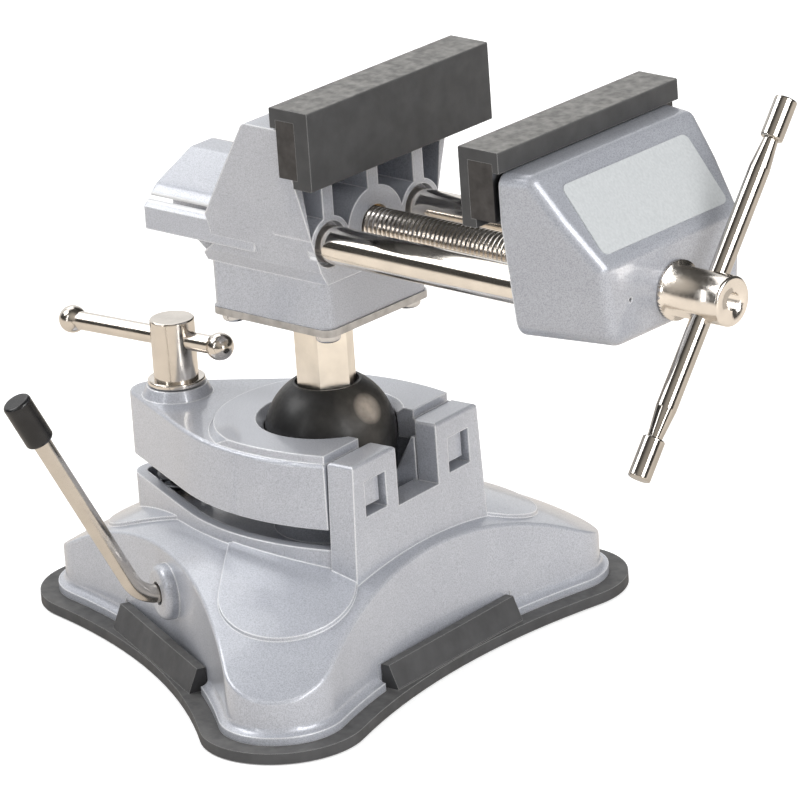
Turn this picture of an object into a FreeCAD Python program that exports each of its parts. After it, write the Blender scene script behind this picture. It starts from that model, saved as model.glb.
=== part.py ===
# Suction base vise. Millimetres, +Z up. The origin is on the bench, under the centre of the ball.
# +X runs along the jaw's travel towards the T-bar, and +Y along the jaws.
import FreeCAD, Part
import math
import os

from FreeCAD import Vector

os.makedirs("parts", exist_ok=True)

# General clearances and walls
FIT = 0.05
GAP = 0.3
SEAT_GAP = 0.1
OVERRUN = 60.0
CASTING_WALL = 4.0
EDGE = 1.0

# Three-lobed base, measured from its own centre: lobes at 60, 180 and 300 degrees
BALL_OFFSET = 9.5
BASE_TURN = 4.61
LOBE_ANGLES = (60, 180, 300)
WAIST_ANGLES = (0, 120, 240)
LOBE_OUT = 67.0
TIP_R = 22.0
WAIST = 48.0
RIM = 3.0
RIM_WIDTH = 5.1
PLINTH_H = 2.2
PLINTH_STEP = 2.2
DOME_R = 150.0
DOME_TOP = 38.0
FLARE_R = 2.0
RIB_H = 3.0
RIB_W = 2.0
LAND_OUT = 46.0
LAND_R = 18.0
LAND_START = 24.0
LAND_STEP = 1.0

# Release tabs of the rubber pad, in the middle of each concave side
TAB_HALF = 27.5
TAB_IN = 42.6
TAB_TOP_EDGE = 45.0
TAB_OUT = 47.6
TAB_FOOT = 0.4
TAB_RISE = 6.5
TAB_NOTCH = 1.8

# Socket under the clamp plate: a ship-bow outline that the plate shares
BOW_HALF = 30.3
BOW_WIDE_X = 10.0
BOW_SIDE_R = 70.0
BOW_ANGLE = 29
BOW_NOSE_R = 6.0
SOCKET_TOP = 38.7
SOCKET_WALL = 3.0
SOCKET_FLOOR = 34.0
FLOOR_T = 3.0

# End wall with the post's notch and two hook windows
END_OUT = 37.4
END_T = 8.2
END_TOP = 62.7
END_HALF_TOP = 27.0
END_HALF_FOOT = 28.6
END_FOOT = 30.0
NOTCH_HALF = 8.8
NOTCH_BOTTOM = 46.2
NOTCH_RELIEF_R = 23.0
CHEEK_T = 2.6
CHEEK_REACH = 6.5
CHEEK_TOP = 58.0
WINDOW_IN = 13.6
WINDOW_OUT = 22.7
WINDOW_LOW = 47.7
WINDOW_HIGH = 57.3

# Ball and its seats
BALL_Z = 58.9
BALL_R = 17.5
BALL_FLAT = 14.9
CUP_R = 16.5
CUP_TOP = 48.0

# Clamp plate
PLATE_GAP = 5.5
PLATE_RIM = 62.0
PLATE_LAND = 64.3
PLATE_LAND_R = 31.5
PLATE_WALL = 4.0
PLATE_ROOF = 4.5
PLATE_END_GAP = 0.7
PLATE_RING = 5.0
MOUTH_WALL_H = 6.0
MOUTH_HALF = 12.0
BALL_OPEN_R = 19.5
SEAT_RISE = 3.4
HOOK_H = 7.4
HOOK_SLACK = 1.0
HOOK_REACH = 7.0

# Clamp screw, its washer, spring and sliding bar
CLAMP_X = -41.6
CLAMP_R = 4.0
CLAMP_END = 19.5
CLAMP_HEAD_R = 6.0
CLAMP_HEAD_LOW = 66.5
CLAMP_HEAD_TOP = 83.1
CLAMP_HOLE = 0.6
CLAMP_BOSS_R = 9.5
CLAMP_BOSS_TAPER = 1.4
CLAMP_BOSS_TOP = 64.8
CLAMP_BOSS_LOW = 17.0
WASHER_R = 7.75
WASHER_T = 1.5
SPRING_WIRE = 1.6
SPRING_R = 6.4
SPRING_TURNS = 3
BAR_Z = 77.4
BAR_R = 2.5
BAR_LONG = 34.5
BAR_SHORT = 15.8
KNOB_R = 3.75
PIN_R = 1.75
PIN_IN = 2.0

# Suction lever and what it moves
LEVER_ANGLE = 240
LEVER_Z = 21.3
LEVER_R = 2.5
LEVER_BOSS_R = 7.5
LEVER_BOSS_OUT = 44.2
LEVER_BOSS_ROUND = 2.0
LEVER_MOUTH = 0.7
LEVER_MOUTH_DEPTH = 2.5
LEVER_CORNER = 49.0
LEVER_BEND = 9.5
LEVER_RISE_ANGLE = 64
LEVER_HANDLE = 66.0
LEVER_INNER = 16.5
CAP_R = 3.9
CAP_L = 13.6
CAP_END = 1.6
LIFT = 2.0
CAM_R = 5.5
CAM_HALF = 3.5
YOKE_CLEAR = 0.6
YOKE_BAR = 2.4
YOKE_HALF = 2.9
STUD_R = 4.0
STUD_FLANGE_R = 8.0
STUD_FLANGE_T = 2.0
HUB_R = 12.0
HUB_LIP = 1.5
LUG_START = 9.0
LUG_T = 5.5
LUG_HALF = 6.0
CLIP_T = 0.8
CLIP_R = 4.6

# Post, bottom plate and the screws of the head
POST_AF = 14.0
POST_SINK = 1.2
POST_RECESS = 0.4
POST_SHANK_R = 5.0
POST_SHANK_IN = 13.0
POST_NUT_AF = 16.0
POST_NUT_H = 7.0
POST_WASHER_R = 10.0
POST_WASHER_T = 1.5
BOTTOM_LOW = 94.7
BOTTOM_T = 2.0
BOTTOM_HALF_X = 20.9
BOTTOM_HALF_Y = 20.1
BOTTOM_CORNER = 3.0
SCREW_INSET = 4.5
SCREW_R = 1.9
SCREW_HEAD_R = 3.3
SCREW_HEAD_H = 2.4
SCREW_L = 9.0
SCREW_BOSS_R = 4.2
SLOT_W = 0.9
SLOT_DEPTH = 1.2
SLOT_REACH_SHARE = 0.6

# Jaws: what both share
JAW_HALF = 35.0
ROD_R = 5.0
ROD_PITCH = 35.0
ROD_Z = 120.0
PLATE_RISE = 23.0
PLATE_LOW = ROD_Z + PLATE_RISE
PLATE_H = 15.3
PLATE_TOP = PLATE_LOW + PLATE_H
COVER_ROOF = 3.2
COVER_TOP = PLATE_TOP + COVER_ROOF
COVER_DROP = 2.4
COVER_LOW = PLATE_LOW - COVER_DROP
ROD_BOSS_R = 7.5
SCREW_BOSS_OUT = 10.7
RIB_HALF = 2.0
RECESS_DROP = 5.8
RECESS_LOW = ROD_Z - RECESS_DROP
RECESS_WALL = 3.2
RECESS_DEPTH = 13.0
ROD_MOUTH_R = 6.1
ROD_MOUTH_DEPTH = 2.5

# Fixed jaw
FIXED_FACE = 32.7
FIXED_COVER_T = 4.7
FIXED_PLATE_T = 6.2
FIXED_SEAT_GAP = 0.3
FIXED_FRONT = FIXED_FACE - FIXED_COVER_T - FIXED_PLATE_T - FIXED_SEAT_GAP
BOX_HALF_X = 20.5
BOX_HALF_Y = 19.75
SHELF_DROP = 10.6
SHELF_LOW = ROD_Z - SHELF_DROP
SHELF_H = 3.8
SHELF_HIGH = SHELF_LOW + SHELF_H
BOX_RISE = 2.4
BOX_TOP = SHELF_LOW + BOX_RISE
BOX_WALL = 3.4
TOP_SINK = 2.8
FIXED_TOP = PLATE_TOP - TOP_SINK
FLANK_HALF = 21.86
FLANK_INSET = 0.36
FLANK_LEAN = (JAW_HALF - FLANK_INSET - FLANK_HALF) / (FIXED_TOP - SHELF_HIGH)
TOP_BACK = 9.5
TOP_ROUND = 3.0
SLOPE_X = -15.1
SLOPE_RISE = 4.4
SLOPE_Z = ROD_Z + SLOPE_RISE
ANVIL_END = -39.2
ANVIL_DROP = 4.2
ANVIL_LOW = ROD_Z - ANVIL_DROP
ANVIL_COVE = -25.9
ANVIL_HALF = 23.4
ANVIL_STRIP_H = 6.2
ANVIL_STRIP = ANVIL_LOW + ANVIL_STRIP_H
ANVIL_HIP_HALF = 18.0
ANVIL_HIP_H = 5.0
ANVIL_HIP = ANVIL_STRIP + ANVIL_HIP_H
ANVIL_CREST_HALF = 4.0
ANVIL_CREST_H = 6.0
ANVIL_CREST = ANVIL_HIP + ANVIL_CREST_H
ANVIL_HIP_ROUND = 9.0
ANVIL_CREST_ROUND = 4.0
ROD_CLEAR = 0.5
ROD_BEARING = 18.0
NUT_R = 8.5
NUT_L = 14.0
NUT_SINK = 1.6
NUT_MOUTH = 0.6

# Moving jaw
OPENING = 50.5
MOVING_COVER_T = 3.0
MOVING_PLATE_T = 7.9
MOVING_SEAT_GAP = 0.9
MOVING_L = 26.5
MOVING_FACE = FIXED_FACE + OPENING
MOVING_PLATE_FACE = MOVING_FACE + MOVING_COVER_T
MOVING_BACK = MOVING_PLATE_FACE + MOVING_PLATE_T + MOVING_SEAT_GAP
MOVING_FRONT = MOVING_BACK + MOVING_L
MOVING_SINK = 2.9
MOVING_TOP = PLATE_TOP - MOVING_SINK
MOVING_DROP = 9.0
MOVING_LOW = ROD_Z - MOVING_DROP
MOVING_INSET = 1.0
MOVING_HALF = JAW_HALF - MOVING_INSET
MOVING_KNEE = PLATE_LOW
MOVING_LEAN = 0.124
MOVING_TAPER = 0.2
MOVING_CORNER = 6.0
SHOULDER_T = 8.5
MOVING_SHOULDER = MOVING_BACK + SHOULDER_T
SLOPE_FALL = 22.4
MOVING_SLOPE_END = MOVING_TOP - SLOPE_FALL
MOVING_EDGE = 3.2
ROD_TAIL = 112.5
ROD_BLIND = 17.0
VENT_R = 0.6
LABEL_L = 48.5
LABEL_W = 20.5
LABEL_T = 0.4
LABEL_CORNER = 2.0
LABEL_START = 5.0

# Jaw plates and covers
JAW_SCREW_R = 2.0
JAW_SCREW_HEAD_R = 4.0
JAW_SCREW_HEAD_H = 2.2
JAW_SCREW_IN = 7.5
JAW_SCREW_RISE = 6.0
JAW_SCREW_Z = PLATE_LOW + JAW_SCREW_RISE
COVER_LIP = 2.0
COVER_LIP_H = 5.5
COVER_LIP_LOW = COVER_TOP - COVER_LIP_H
COVER_TOE = 1.6
COVER_TOE_T = 2.3

# Lead screw and T-bar
LEAD_R = 5.0
LEAD_TAIL = -20.0
COLLAR_R = 7.75
COLLAR_T = 1.3
HEAD_R = 6.5
HEAD_L = 18.3
HEAD_END = MOVING_FRONT + HEAD_L
HEAD_RIM = 0.8
CENTRE_R = 2.4
CENTRE_DEPTH = 5.0
THRUST_R = 7.6
THRUST_T = 1.2
LEAD_CLIP_R = 7.0
LEAD_CLIP_T = 1.2
TBAR_OUT = 10.8
TBAR_X = MOVING_FRONT + TBAR_OUT
TBAR_TILT = 39
TBAR_R = 2.7
TBAR_UP = 54.0
TBAR_DOWN = 49.4
TBAR_NECK = 1.9
TBAR_TAPER = 8.0
TBAR_CAP_R = 2.95
TBAR_CAP_L = 11.0
TBAR_CAP_ROUND = 0.5

UP = Vector(0, 0, 1)
ORIGIN = Vector(0, 0, 0)


# Small making tools
def box(x0, x1, y0, y1, z0, z1):
    return Part.makeBox(x1 - x0, y1 - y0, z1 - z0, Vector(x0, y0, z0))


def rod(radius, start, end):
    return Part.makeCylinder(radius, (end - start).Length, start, end - start)


def prism(points, along):
    wire = Part.makePolygon(list(points) + [points[0]])
    return Part.Face(wire).extrude(along)


def ball(radius, centre):
    return Part.makeSphere(radius, centre)


def hexagon(across_flats, low, high):
    corner = across_flats / math.sqrt(3)
    points = []
    for k in range(6):
        angle = math.radians(60 * k)
        points.append(Vector(corner * math.cos(angle), corner * math.sin(angle), low))
    return prism(points, Vector(0, 0, high - low))


def fuse_all(shapes):
    result = shapes[0]
    for shape in shapes[1:]:
        result = result.fuse(shape)
    return result.removeSplitter()


def cut_all(shape, tools):
    for tool in tools:
        shape = shape.cut(tool)
    return shape


def mirrored_y(shape):
    return shape.mirror(ORIGIN, Vector(0, 1, 0))


def edges_where(shape, test):
    return [edge for edge in shape.Edges if test(edge)]


def save(name, shape, pieces=1):
    solids = shape.Solids
    if len(solids) != pieces or not shape.isValid():
        raise ValueError(name + " has " + str(len(solids)) + " solids, valid " + str(shape.isValid()))
    shape.exportStep("parts/" + name + ".step")


def place_base(shape):
    # The base stands a few degrees askew under the head
    placed = shape.copy()
    placed.translate(Vector(-BALL_OFFSET, 0, 0))
    placed.rotate(ORIGIN, UP, BASE_TURN)
    return placed


def turned(shape, angle):
    return shape.rotated(ORIGIN, UP, angle)


# Outline with three lobes: round tips joined by long concave arcs that touch them
def lobed_outline(inset, z):
    tip = TIP_R - inset
    waist = WAIST - inset
    arc = LOBE_OUT ** 2 + waist ** 2 - LOBE_OUT * waist - tip ** 2
    arc = arc / (LOBE_OUT + 2 * tip - 2 * waist)

    def polar(radius, angle):
        a = math.radians(angle)
        return Vector(radius * math.cos(a), radius * math.sin(a), z)

    edges = []
    for angle in LOBE_ANGLES:
        centre = polar(LOBE_OUT, angle)
        before = polar(waist + arc, angle - 60)
        after = polar(waist + arc, angle + 60)
        following = polar(LOBE_OUT, angle + 120)
        reach = tip / (tip + arc)
        start = centre + (before - centre) * reach
        end = centre + (after - centre) * reach
        onward = following + (after - following) * reach
        edges.append(Part.Arc(start, polar(LOBE_OUT + tip, angle), end).toShape())
        edges.append(Part.Arc(end, polar(waist, angle + 60), onward).toShape())
    return Part.Face(Part.Wire(edges))


def lobed_slab(inset, low, high):
    return lobed_outline(inset, low).extrude(Vector(0, 0, high - low))


# Ship-bow outline, closed by a straight end at the given place
def bow_slab(inset, end_x, low, high):
    half = BOW_HALF - inset
    side_r = BOW_SIDE_R - inset
    nose_r = BOW_NOSE_R - inset
    lean = math.radians(BOW_ANGLE)
    side_y = half - side_r
    leave = Vector(BOW_WIDE_X - side_r * math.sin(lean), side_y + side_r * math.cos(lean), low)
    nose_x = leave.x - (leave.y - nose_r / math.cos(lean)) / math.tan(lean)
    touch = Vector(nose_x - nose_r * math.sin(lean), nose_r * math.cos(lean), low)
    end_y = side_y + math.sqrt(side_r ** 2 - (end_x - BOW_WIDE_X) ** 2)

    def other(point):
        return Vector(point.x, -point.y, point.z)

    end = Vector(end_x, end_y, low)
    wide = Vector(BOW_WIDE_X, half, low)
    nose = Vector(nose_x - nose_r, 0, low)
    edges = [Part.Arc(end, wide, leave).toShape()]
    edges.append(Part.LineSegment(leave, touch).toShape())
    edges.append(Part.Arc(touch, nose, other(touch)).toShape())
    edges.append(Part.LineSegment(other(touch), other(leave)).toShape())
    edges.append(Part.Arc(other(leave), other(wide), other(end)).toShape())
    edges.append(Part.LineSegment(other(end), end).toShape())
    return Part.Face(Part.Wire(edges)).extrude(Vector(0, 0, high - low))


END_IN = END_OUT - END_T
DOME_CENTRE = Vector(0, 0, DOME_TOP - DOME_R)
BALL_CENTRE = Vector(BALL_OFFSET, 0, BALL_Z)
SEAT_R = BALL_R + GAP
CLAMP_AXIS = Vector(CLAMP_X, 0, 0)
WALL_INSET = RIM_WIDTH + PLINTH_STEP


def up_from(point, z):
    return Vector(point.x, point.y, z)


# Lever frame: along the axle outwards, across it, and up
LEVER_OUT = Vector(math.cos(math.radians(LEVER_ANGLE)), math.sin(math.radians(LEVER_ANGLE)), 0)


def lever_point(out, z):
    return LEVER_OUT * out + Vector(0, 0, z)


def lever_block(out0, out1, half, z0, z1):
    return turned(box(out0, out1, -half, half, z0, z1), LEVER_ANGLE)


# Base casting: hollow three-lobed dome with the socket, cup, end wall and bosses in one piece
def end_wall():
    def at(half, z):
        return Vector(END_IN, half, z)

    foot = END_HALF_FOOT + (END_HALF_FOOT - END_HALF_TOP) / (END_TOP - END_FOOT) * FLOOR_T
    low = END_FOOT - FLOOR_T
    sides = [at(-foot, low), at(foot, low), at(END_HALF_TOP, END_TOP), at(-END_HALF_TOP, END_TOP)]
    wall = prism(sides, Vector(END_T, 0, 0))
    wall = wall.cut(box(END_IN - END_T, END_OUT + END_T, -NOTCH_HALF, NOTCH_HALF, NOTCH_BOTTOM, END_TOP + END_T))

    def top_edge(edge):
        return edge.BoundBox.ZMin > END_TOP - EDGE / 2 and edge.BoundBox.ZMax < END_TOP + EDGE / 2

    wall = wall.makeFillet(EDGE, edges_where(wall, top_edge))
    wall = wall.cut(rod(NOTCH_RELIEF_R, up_from(BALL_CENTRE, NOTCH_BOTTOM), up_from(BALL_CENTRE, END_TOP + EDGE)))
    for side in (-1, 1):
        near, far = sorted((side * WINDOW_IN, side * WINDOW_OUT))
        wall = wall.cut(box(END_IN - END_T, END_OUT + END_T, near, far, WINDOW_LOW, WINDOW_HIGH))
    slope = [(END_IN + EDGE, low), (END_IN + EDGE, CHEEK_TOP), (END_IN, CHEEK_TOP),
             (END_IN - CHEEK_REACH, NOTCH_BOTTOM), (END_IN - CHEEK_REACH, low)]
    for start in (-NOTCH_HALF - CHEEK_T, NOTCH_HALF):
        wall = wall.fuse(prism([Vector(x, start, z) for x, z in slope], Vector(0, CHEEK_T, 0)))
    return wall


def dome_edge(edge):
    box_of = edge.BoundBox
    return box_of.ZMin > RIM + PLINTH_H + FLARE_R and box_of.XLength + box_of.YLength > EDGE


def flare_edge(edge):
    level = RIM + PLINTH_H
    flat = edge.BoundBox.ZLength < SEAT_GAP and abs(edge.BoundBox.ZMin - level) < SEAT_GAP
    middle = edge.valueAt((edge.FirstParameter + edge.LastParameter) / 2)
    return flat and inside_outline(middle, RIM_WIDTH + PLINTH_STEP / 2)


def inside_outline(point, inset):
    probe = lobed_slab(inset, point.z - EDGE, point.z + EDGE)
    return probe.isInside(point, FIT, True)


def base_casting():
    high = DOME_TOP + EDGE
    dome = lobed_slab(WALL_INSET, RIM, high).common(ball(DOME_R, DOME_CENTRE))
    dome = dome.makeFillet(EDGE, edges_where(dome, dome_edge))
    body = dome.fuse(lobed_slab(RIM_WIDTH, RIM, RIM + PLINTH_H)).removeSplitter()
    body = body.makeFillet(FLARE_R, edges_where(body, flare_edge))

    lands = ball(DOME_R + LAND_STEP, DOME_CENTRE)
    for angle in LOBE_ANGLES:
        low = Vector(LAND_OUT, 0, RIM)
        land = rod(LAND_R, low, up_from(low, high)).fuse(box(LAND_START, LAND_OUT, -LAND_R, LAND_R, RIM, high))
        land = turned(land, angle).common(lands)
        body = body.fuse(land)

    bow = bow_slab(0, END_IN + END_T / 2, END_FOOT - FLOOR_T - CASTING_WALL, SOCKET_TOP)
    body = body.fuse(bow.cut(ball(DOME_R - CASTING_WALL, DOME_CENTRE)))
    body = body.cut(bow_slab(SOCKET_WALL, END_IN, SOCKET_FLOOR, SOCKET_TOP + OVERRUN))

    inner = lobed_slab(WALL_INSET + CASTING_WALL, RIM - EDGE, high)
    inner = inner.common(ball(DOME_R - CASTING_WALL, DOME_CENTRE))
    inner = inner.cut(bow_slab(0, END_IN, SOCKET_FLOOR - FLOOR_T, high))
    body = body.cut(inner)

    body = body.fuse(end_wall())
    cup = rod(CUP_R, up_from(BALL_CENTRE, SOCKET_FLOOR - FLOOR_T / 2), up_from(BALL_CENTRE, CUP_TOP))
    boss = rod(CLAMP_BOSS_R, up_from(CLAMP_AXIS, CLAMP_BOSS_LOW), up_from(CLAMP_AXIS, SOCKET_FLOOR))
    lug_top = SOCKET_FLOOR - FLOOR_T / 2
    lug = lever_block(-LUG_START - LUG_T, -LUG_START, LUG_HALF, LEVER_Z - LUG_HALF, lug_top)
    boss_start = lever_point(WAIST - WALL_INSET - CASTING_WALL, LEVER_Z)
    lever_boss = rod(LEVER_BOSS_R, boss_start, lever_point(LEVER_BOSS_OUT, LEVER_Z))

    def boss_rim(edge):
        on_axis = edge.Closed and edge.CenterOfMass.distanceToPoint(lever_point(LEVER_BOSS_OUT, LEVER_Z)) < EDGE
        return on_axis

    lever_boss = lever_boss.makeFillet(LEVER_BOSS_ROUND, edges_where(lever_boss, boss_rim))
    body = fuse_all([body, cup, boss, lug, lever_boss])

    cuts = [ball(SEAT_R, BALL_CENTRE)]
    cuts.append(rod(CLAMP_R + FIT, up_from(CLAMP_AXIS, 0), up_from(CLAMP_AXIS, END_TOP)))
    cuts.append(rod(LEVER_R + FIT, lever_point(-LEVER_CORNER / 2, LEVER_Z), lever_point(LEVER_CORNER, LEVER_Z)))
    mouth_from = lever_point(LEVER_BOSS_OUT - LEVER_MOUTH_DEPTH, LEVER_Z)
    cuts.append(rod(LEVER_R + LEVER_MOUTH, mouth_from, lever_point(LEVER_CORNER, LEVER_Z)))
    notch_half = TAB_HALF + TAB_NOTCH
    notch_top = RIM + TAB_RISE + TAB_FOOT
    for angle in WAIST_ANGLES:
        notch = box(TAB_IN - GAP, TAB_OUT + EDGE, -notch_half, notch_half, RIM - EDGE, notch_top)
        cuts.append(turned(notch, angle))
    return cut_all(body, cuts)


def suction_pad():
    inner = WALL_INSET + CASTING_WALL + GAP
    rib = lobed_slab(inner, RIM, RIM + RIB_H).cut(lobed_slab(inner + RIB_W, RIM, RIM + RIB_H))
    pocket_top = RIM + STUD_FLANGE_T + LIFT + 2 * GAP
    hub = rod(HUB_R, up_from(ORIGIN, RIM), up_from(ORIGIN, pocket_top + HUB_LIP))
    parts = [lobed_slab(0, 0, RIM), rib, hub]
    section = [(TAB_IN, 0), (TAB_OUT, 0), (TAB_OUT, TAB_FOOT), (TAB_TOP_EDGE, TAB_RISE), (TAB_IN, TAB_RISE)]
    for angle in WAIST_ANGLES:
        points = [Vector(out, -TAB_HALF, RIM + rise) for out, rise in section]
        tab = prism(points, Vector(0, 2 * TAB_HALF, 0))
        under = box(TAB_IN, TAB_OUT, -TAB_HALF, TAB_HALF, RIM / 2, RIM)
        parts.append(turned(tab.fuse(under), angle))
    pad = fuse_all(parts)
    pad = pad.cut(rod(STUD_FLANGE_R + GAP, up_from(ORIGIN, RIM), up_from(ORIGIN, pocket_top)))
    return pad.cut(rod(STUD_R + GAP, up_from(ORIGIN, RIM), up_from(ORIGIN, pocket_top + OVERRUN)))


CAM_Z = LEVER_Z - LIFT
WINDOW_R = CAM_R + YOKE_CLEAR


def pad_stud():
    low = CAM_Z - WINDOW_R
    high = CAM_Z + WINDOW_R
    reach = WINDOW_R + LIFT
    flange_low = RIM + GAP
    flange = rod(STUD_FLANGE_R, up_from(ORIGIN, flange_low), up_from(ORIGIN, flange_low + STUD_FLANGE_T))
    shank = rod(STUD_R, up_from(ORIGIN, flange_low), up_from(ORIGIN, low - YOKE_BAR / 2))
    yoke = lever_block(-YOKE_HALF, YOKE_HALF, reach + YOKE_BAR, low - YOKE_BAR, high + YOKE_BAR)
    window = lever_block(-YOKE_HALF - EDGE, YOKE_HALF + EDGE, reach, low, high)
    return fuse_all([flange, shank, yoke.cut(window)])


def lift_cam():
    disc = rod(CAM_R, lever_point(-CAM_HALF, CAM_Z), lever_point(CAM_HALF, CAM_Z))
    return disc.cut(rod(LEVER_R, lever_point(-LEVER_CORNER, LEVER_Z), lever_point(LEVER_CORNER, LEVER_Z)))


# The lever is one bent rod: axle, bend, and a handle that leans outwards
RISE = math.radians(LEVER_RISE_ANGLE)
HANDLE_OUT = LEVER_OUT * math.cos(RISE) + Vector(0, 0, math.sin(RISE))
CORNER_POINT = lever_point(LEVER_CORNER, LEVER_Z)
LEVER_TIP = CORNER_POINT + HANDLE_OUT * LEVER_HANDLE


def suction_lever():
    back = LEVER_BEND * math.tan(RISE / 2)
    start = lever_point(-LEVER_INNER, LEVER_Z)
    bend_in = CORNER_POINT - LEVER_OUT * back
    bend_out = CORNER_POINT + HANDLE_OUT * back
    centre = bend_in + Vector(0, 0, LEVER_BEND)
    inward = CORNER_POINT - centre
    middle = centre + inward * (LEVER_BEND / inward.Length)
    path = Part.Wire([Part.LineSegment(start, bend_in).toShape(),
                      Part.Arc(bend_in, middle, bend_out).toShape(),
                      Part.LineSegment(bend_out, LEVER_TIP).toShape()])
    ring = Part.Wire([Part.Circle(start, LEVER_OUT, LEVER_R).toShape()])
    lever = path.makePipeShell([ring], True, False)
    groove_at = -LEVER_INNER + CLIP_T / 2
    groove = rod(LEVER_R + EDGE, lever_point(groove_at, LEVER_Z), lever_point(groove_at + CLIP_T, LEVER_Z))
    core = rod(LEVER_R - CLIP_T / 2, lever_point(groove_at, LEVER_Z), lever_point(groove_at + CLIP_T, LEVER_Z))
    return lever.cut(groove.cut(core))


def lever_clip():
    low = -LEVER_INNER + CLIP_T / 2
    ring = rod(CLIP_R, lever_point(low, LEVER_Z), lever_point(low + CLIP_T, LEVER_Z))
    ring = ring.cut(rod(LEVER_R - CLIP_T / 2, lever_point(low - EDGE, LEVER_Z), lever_point(EDGE, LEVER_Z)))
    slot = lever_block(low - EDGE, low + CLIP_T + EDGE, LEVER_R - CLIP_T, LEVER_Z - CLIP_R, LEVER_Z)
    return ring.cut(slot)


def lever_cap():
    outer = LEVER_TIP + HANDLE_OUT * CAP_END
    cap = rod(CAP_R, outer - HANDLE_OUT * CAP_L, outer)
    cap = cap.makeFillet(EDGE, [edge for edge in cap.Edges if edge.BoundBox.DiagonalLength > CAP_R and edge.Closed])
    return cap.cut(rod(LEVER_R, outer - HANDLE_OUT * (CAP_L + EDGE), LEVER_TIP))


# Clamp plate: a cast lid with the upper ball seat, the post's mouth and two hooks
PLATE_BOTTOM = SOCKET_TOP + PLATE_GAP
PLATE_END = END_IN - PLATE_END_GAP


def clamp_plate():
    body = bow_slab(0, PLATE_END, PLATE_BOTTOM, PLATE_RIM)
    land = bow_slab(EDGE, PLATE_END - EDGE / 2, PLATE_RIM, PLATE_LAND)
    low = up_from(BALL_CENTRE, PLATE_RIM - EDGE)
    round_land = Part.makeCone(PLATE_LAND_R + EDGE, PLATE_LAND_R - EDGE, PLATE_LAND - low.z, low, UP)
    land = land.common(round_land.fuse(box(BALL_OFFSET, END_IN, -BOW_HALF, BOW_HALF, low.z, PLATE_LAND)))
    taper = CLAMP_BOSS_R - CLAMP_BOSS_TAPER
    boss_base = up_from(CLAMP_AXIS, PLATE_RIM)
    boss = Part.makeCone(CLAMP_BOSS_R, taper, CLAMP_BOSS_TOP - PLATE_RIM, boss_base, UP)

    def rim_edge(edge):
        return edge.BoundBox.ZMin > PLATE_RIM - SEAT_GAP

    body = body.makeFillet(EDGE, edges_where(body, rim_edge))
    body = fuse_all([body, land, boss])

    pocket = bow_slab(PLATE_WALL, PLATE_END - PLATE_WALL, PLATE_BOTTOM - EDGE, PLATE_RIM - PLATE_ROOF)
    ring_low = up_from(BALL_CENTRE, PLATE_BOTTOM - EDGE)
    pocket = pocket.cut(rod(SEAT_R + PLATE_RING, ring_low, up_from(BALL_CENTRE, PLATE_RIM)))
    boss_low = up_from(CLAMP_AXIS, PLATE_BOTTOM - EDGE)
    pocket = pocket.cut(rod(CLAMP_BOSS_R, boss_low, up_from(CLAMP_AXIS, PLATE_RIM)))
    mouth_wall = MOUTH_HALF + PLATE_WALL
    mouth_low = PLATE_RIM - MOUTH_WALL_H
    pocket = pocket.cut(box(BALL_OFFSET, END_IN, -mouth_wall, mouth_wall, mouth_low, PLATE_RIM))
    body = body.cut(pocket)
    mouth_wide = WINDOW_IN + HOOK_SLACK
    body = body.cut(box(BALL_OFFSET, END_IN, -mouth_wide, mouth_wide, PLATE_BOTTOM - EDGE, mouth_low))

    hook_high = WINDOW_HIGH - GAP
    for side in (-1, 1):
        near, far = sorted((side * (WINDOW_IN + HOOK_SLACK), side * (WINDOW_OUT - HOOK_SLACK)))
        hook = box(PLATE_END - EDGE, PLATE_END + HOOK_REACH, near, far, hook_high - HOOK_H, hook_high)
        body = body.fuse(hook)

    seat_top = BALL_Z + SEAT_RISE
    seat_top_r = math.sqrt(SEAT_R ** 2 - SEAT_RISE ** 2)
    cone_low = up_from(BALL_CENTRE, seat_top)
    cuts = [ball(SEAT_R, BALL_CENTRE)]
    cuts.append(rod(SEAT_R, up_from(BALL_CENTRE, PLATE_BOTTOM - EDGE), BALL_CENTRE))
    cuts.append(Part.makeCone(seat_top_r, BALL_OPEN_R, PLATE_LAND - seat_top, cone_low, UP))
    cuts.append(rod(BALL_OPEN_R, up_from(BALL_CENTRE, PLATE_LAND), up_from(BALL_CENTRE, PLATE_LAND + EDGE)))
    cuts.append(box(BALL_OFFSET, END_IN, -MOUTH_HALF, MOUTH_HALF, PLATE_BOTTOM - EDGE, PLATE_LAND + EDGE))
    hole = CLAMP_R + CLAMP_HOLE
    cuts.append(rod(hole, up_from(CLAMP_AXIS, PLATE_BOTTOM - EDGE), up_from(CLAMP_AXIS, CLAMP_HEAD_TOP)))
    return cut_all(body, cuts).removeSplitter()


# Clamp screw with its washer, bar, knobs and spring
WASHER_LOW = CLAMP_HEAD_LOW - WASHER_T
BAR_POINT = Vector(CLAMP_X, 0, BAR_Z)


def clamp_screw():
    shank = rod(CLAMP_R, up_from(CLAMP_AXIS, CLAMP_END), up_from(CLAMP_AXIS, CLAMP_HEAD_LOW))
    head = rod(CLAMP_HEAD_R, up_from(CLAMP_AXIS, CLAMP_HEAD_LOW), up_from(CLAMP_AXIS, CLAMP_HEAD_TOP))

    def top_edge(edge):
        return edge.BoundBox.ZMin > CLAMP_HEAD_TOP - EDGE / 2 and edge.Closed

    head = head.makeFillet(EDGE / 2, edges_where(head, top_edge))
    along = Vector(CLAMP_HEAD_R * 2, 0, 0)
    return shank.fuse(head).cut(rod(BAR_R + FIT, BAR_POINT - along, BAR_POINT + along))


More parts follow.
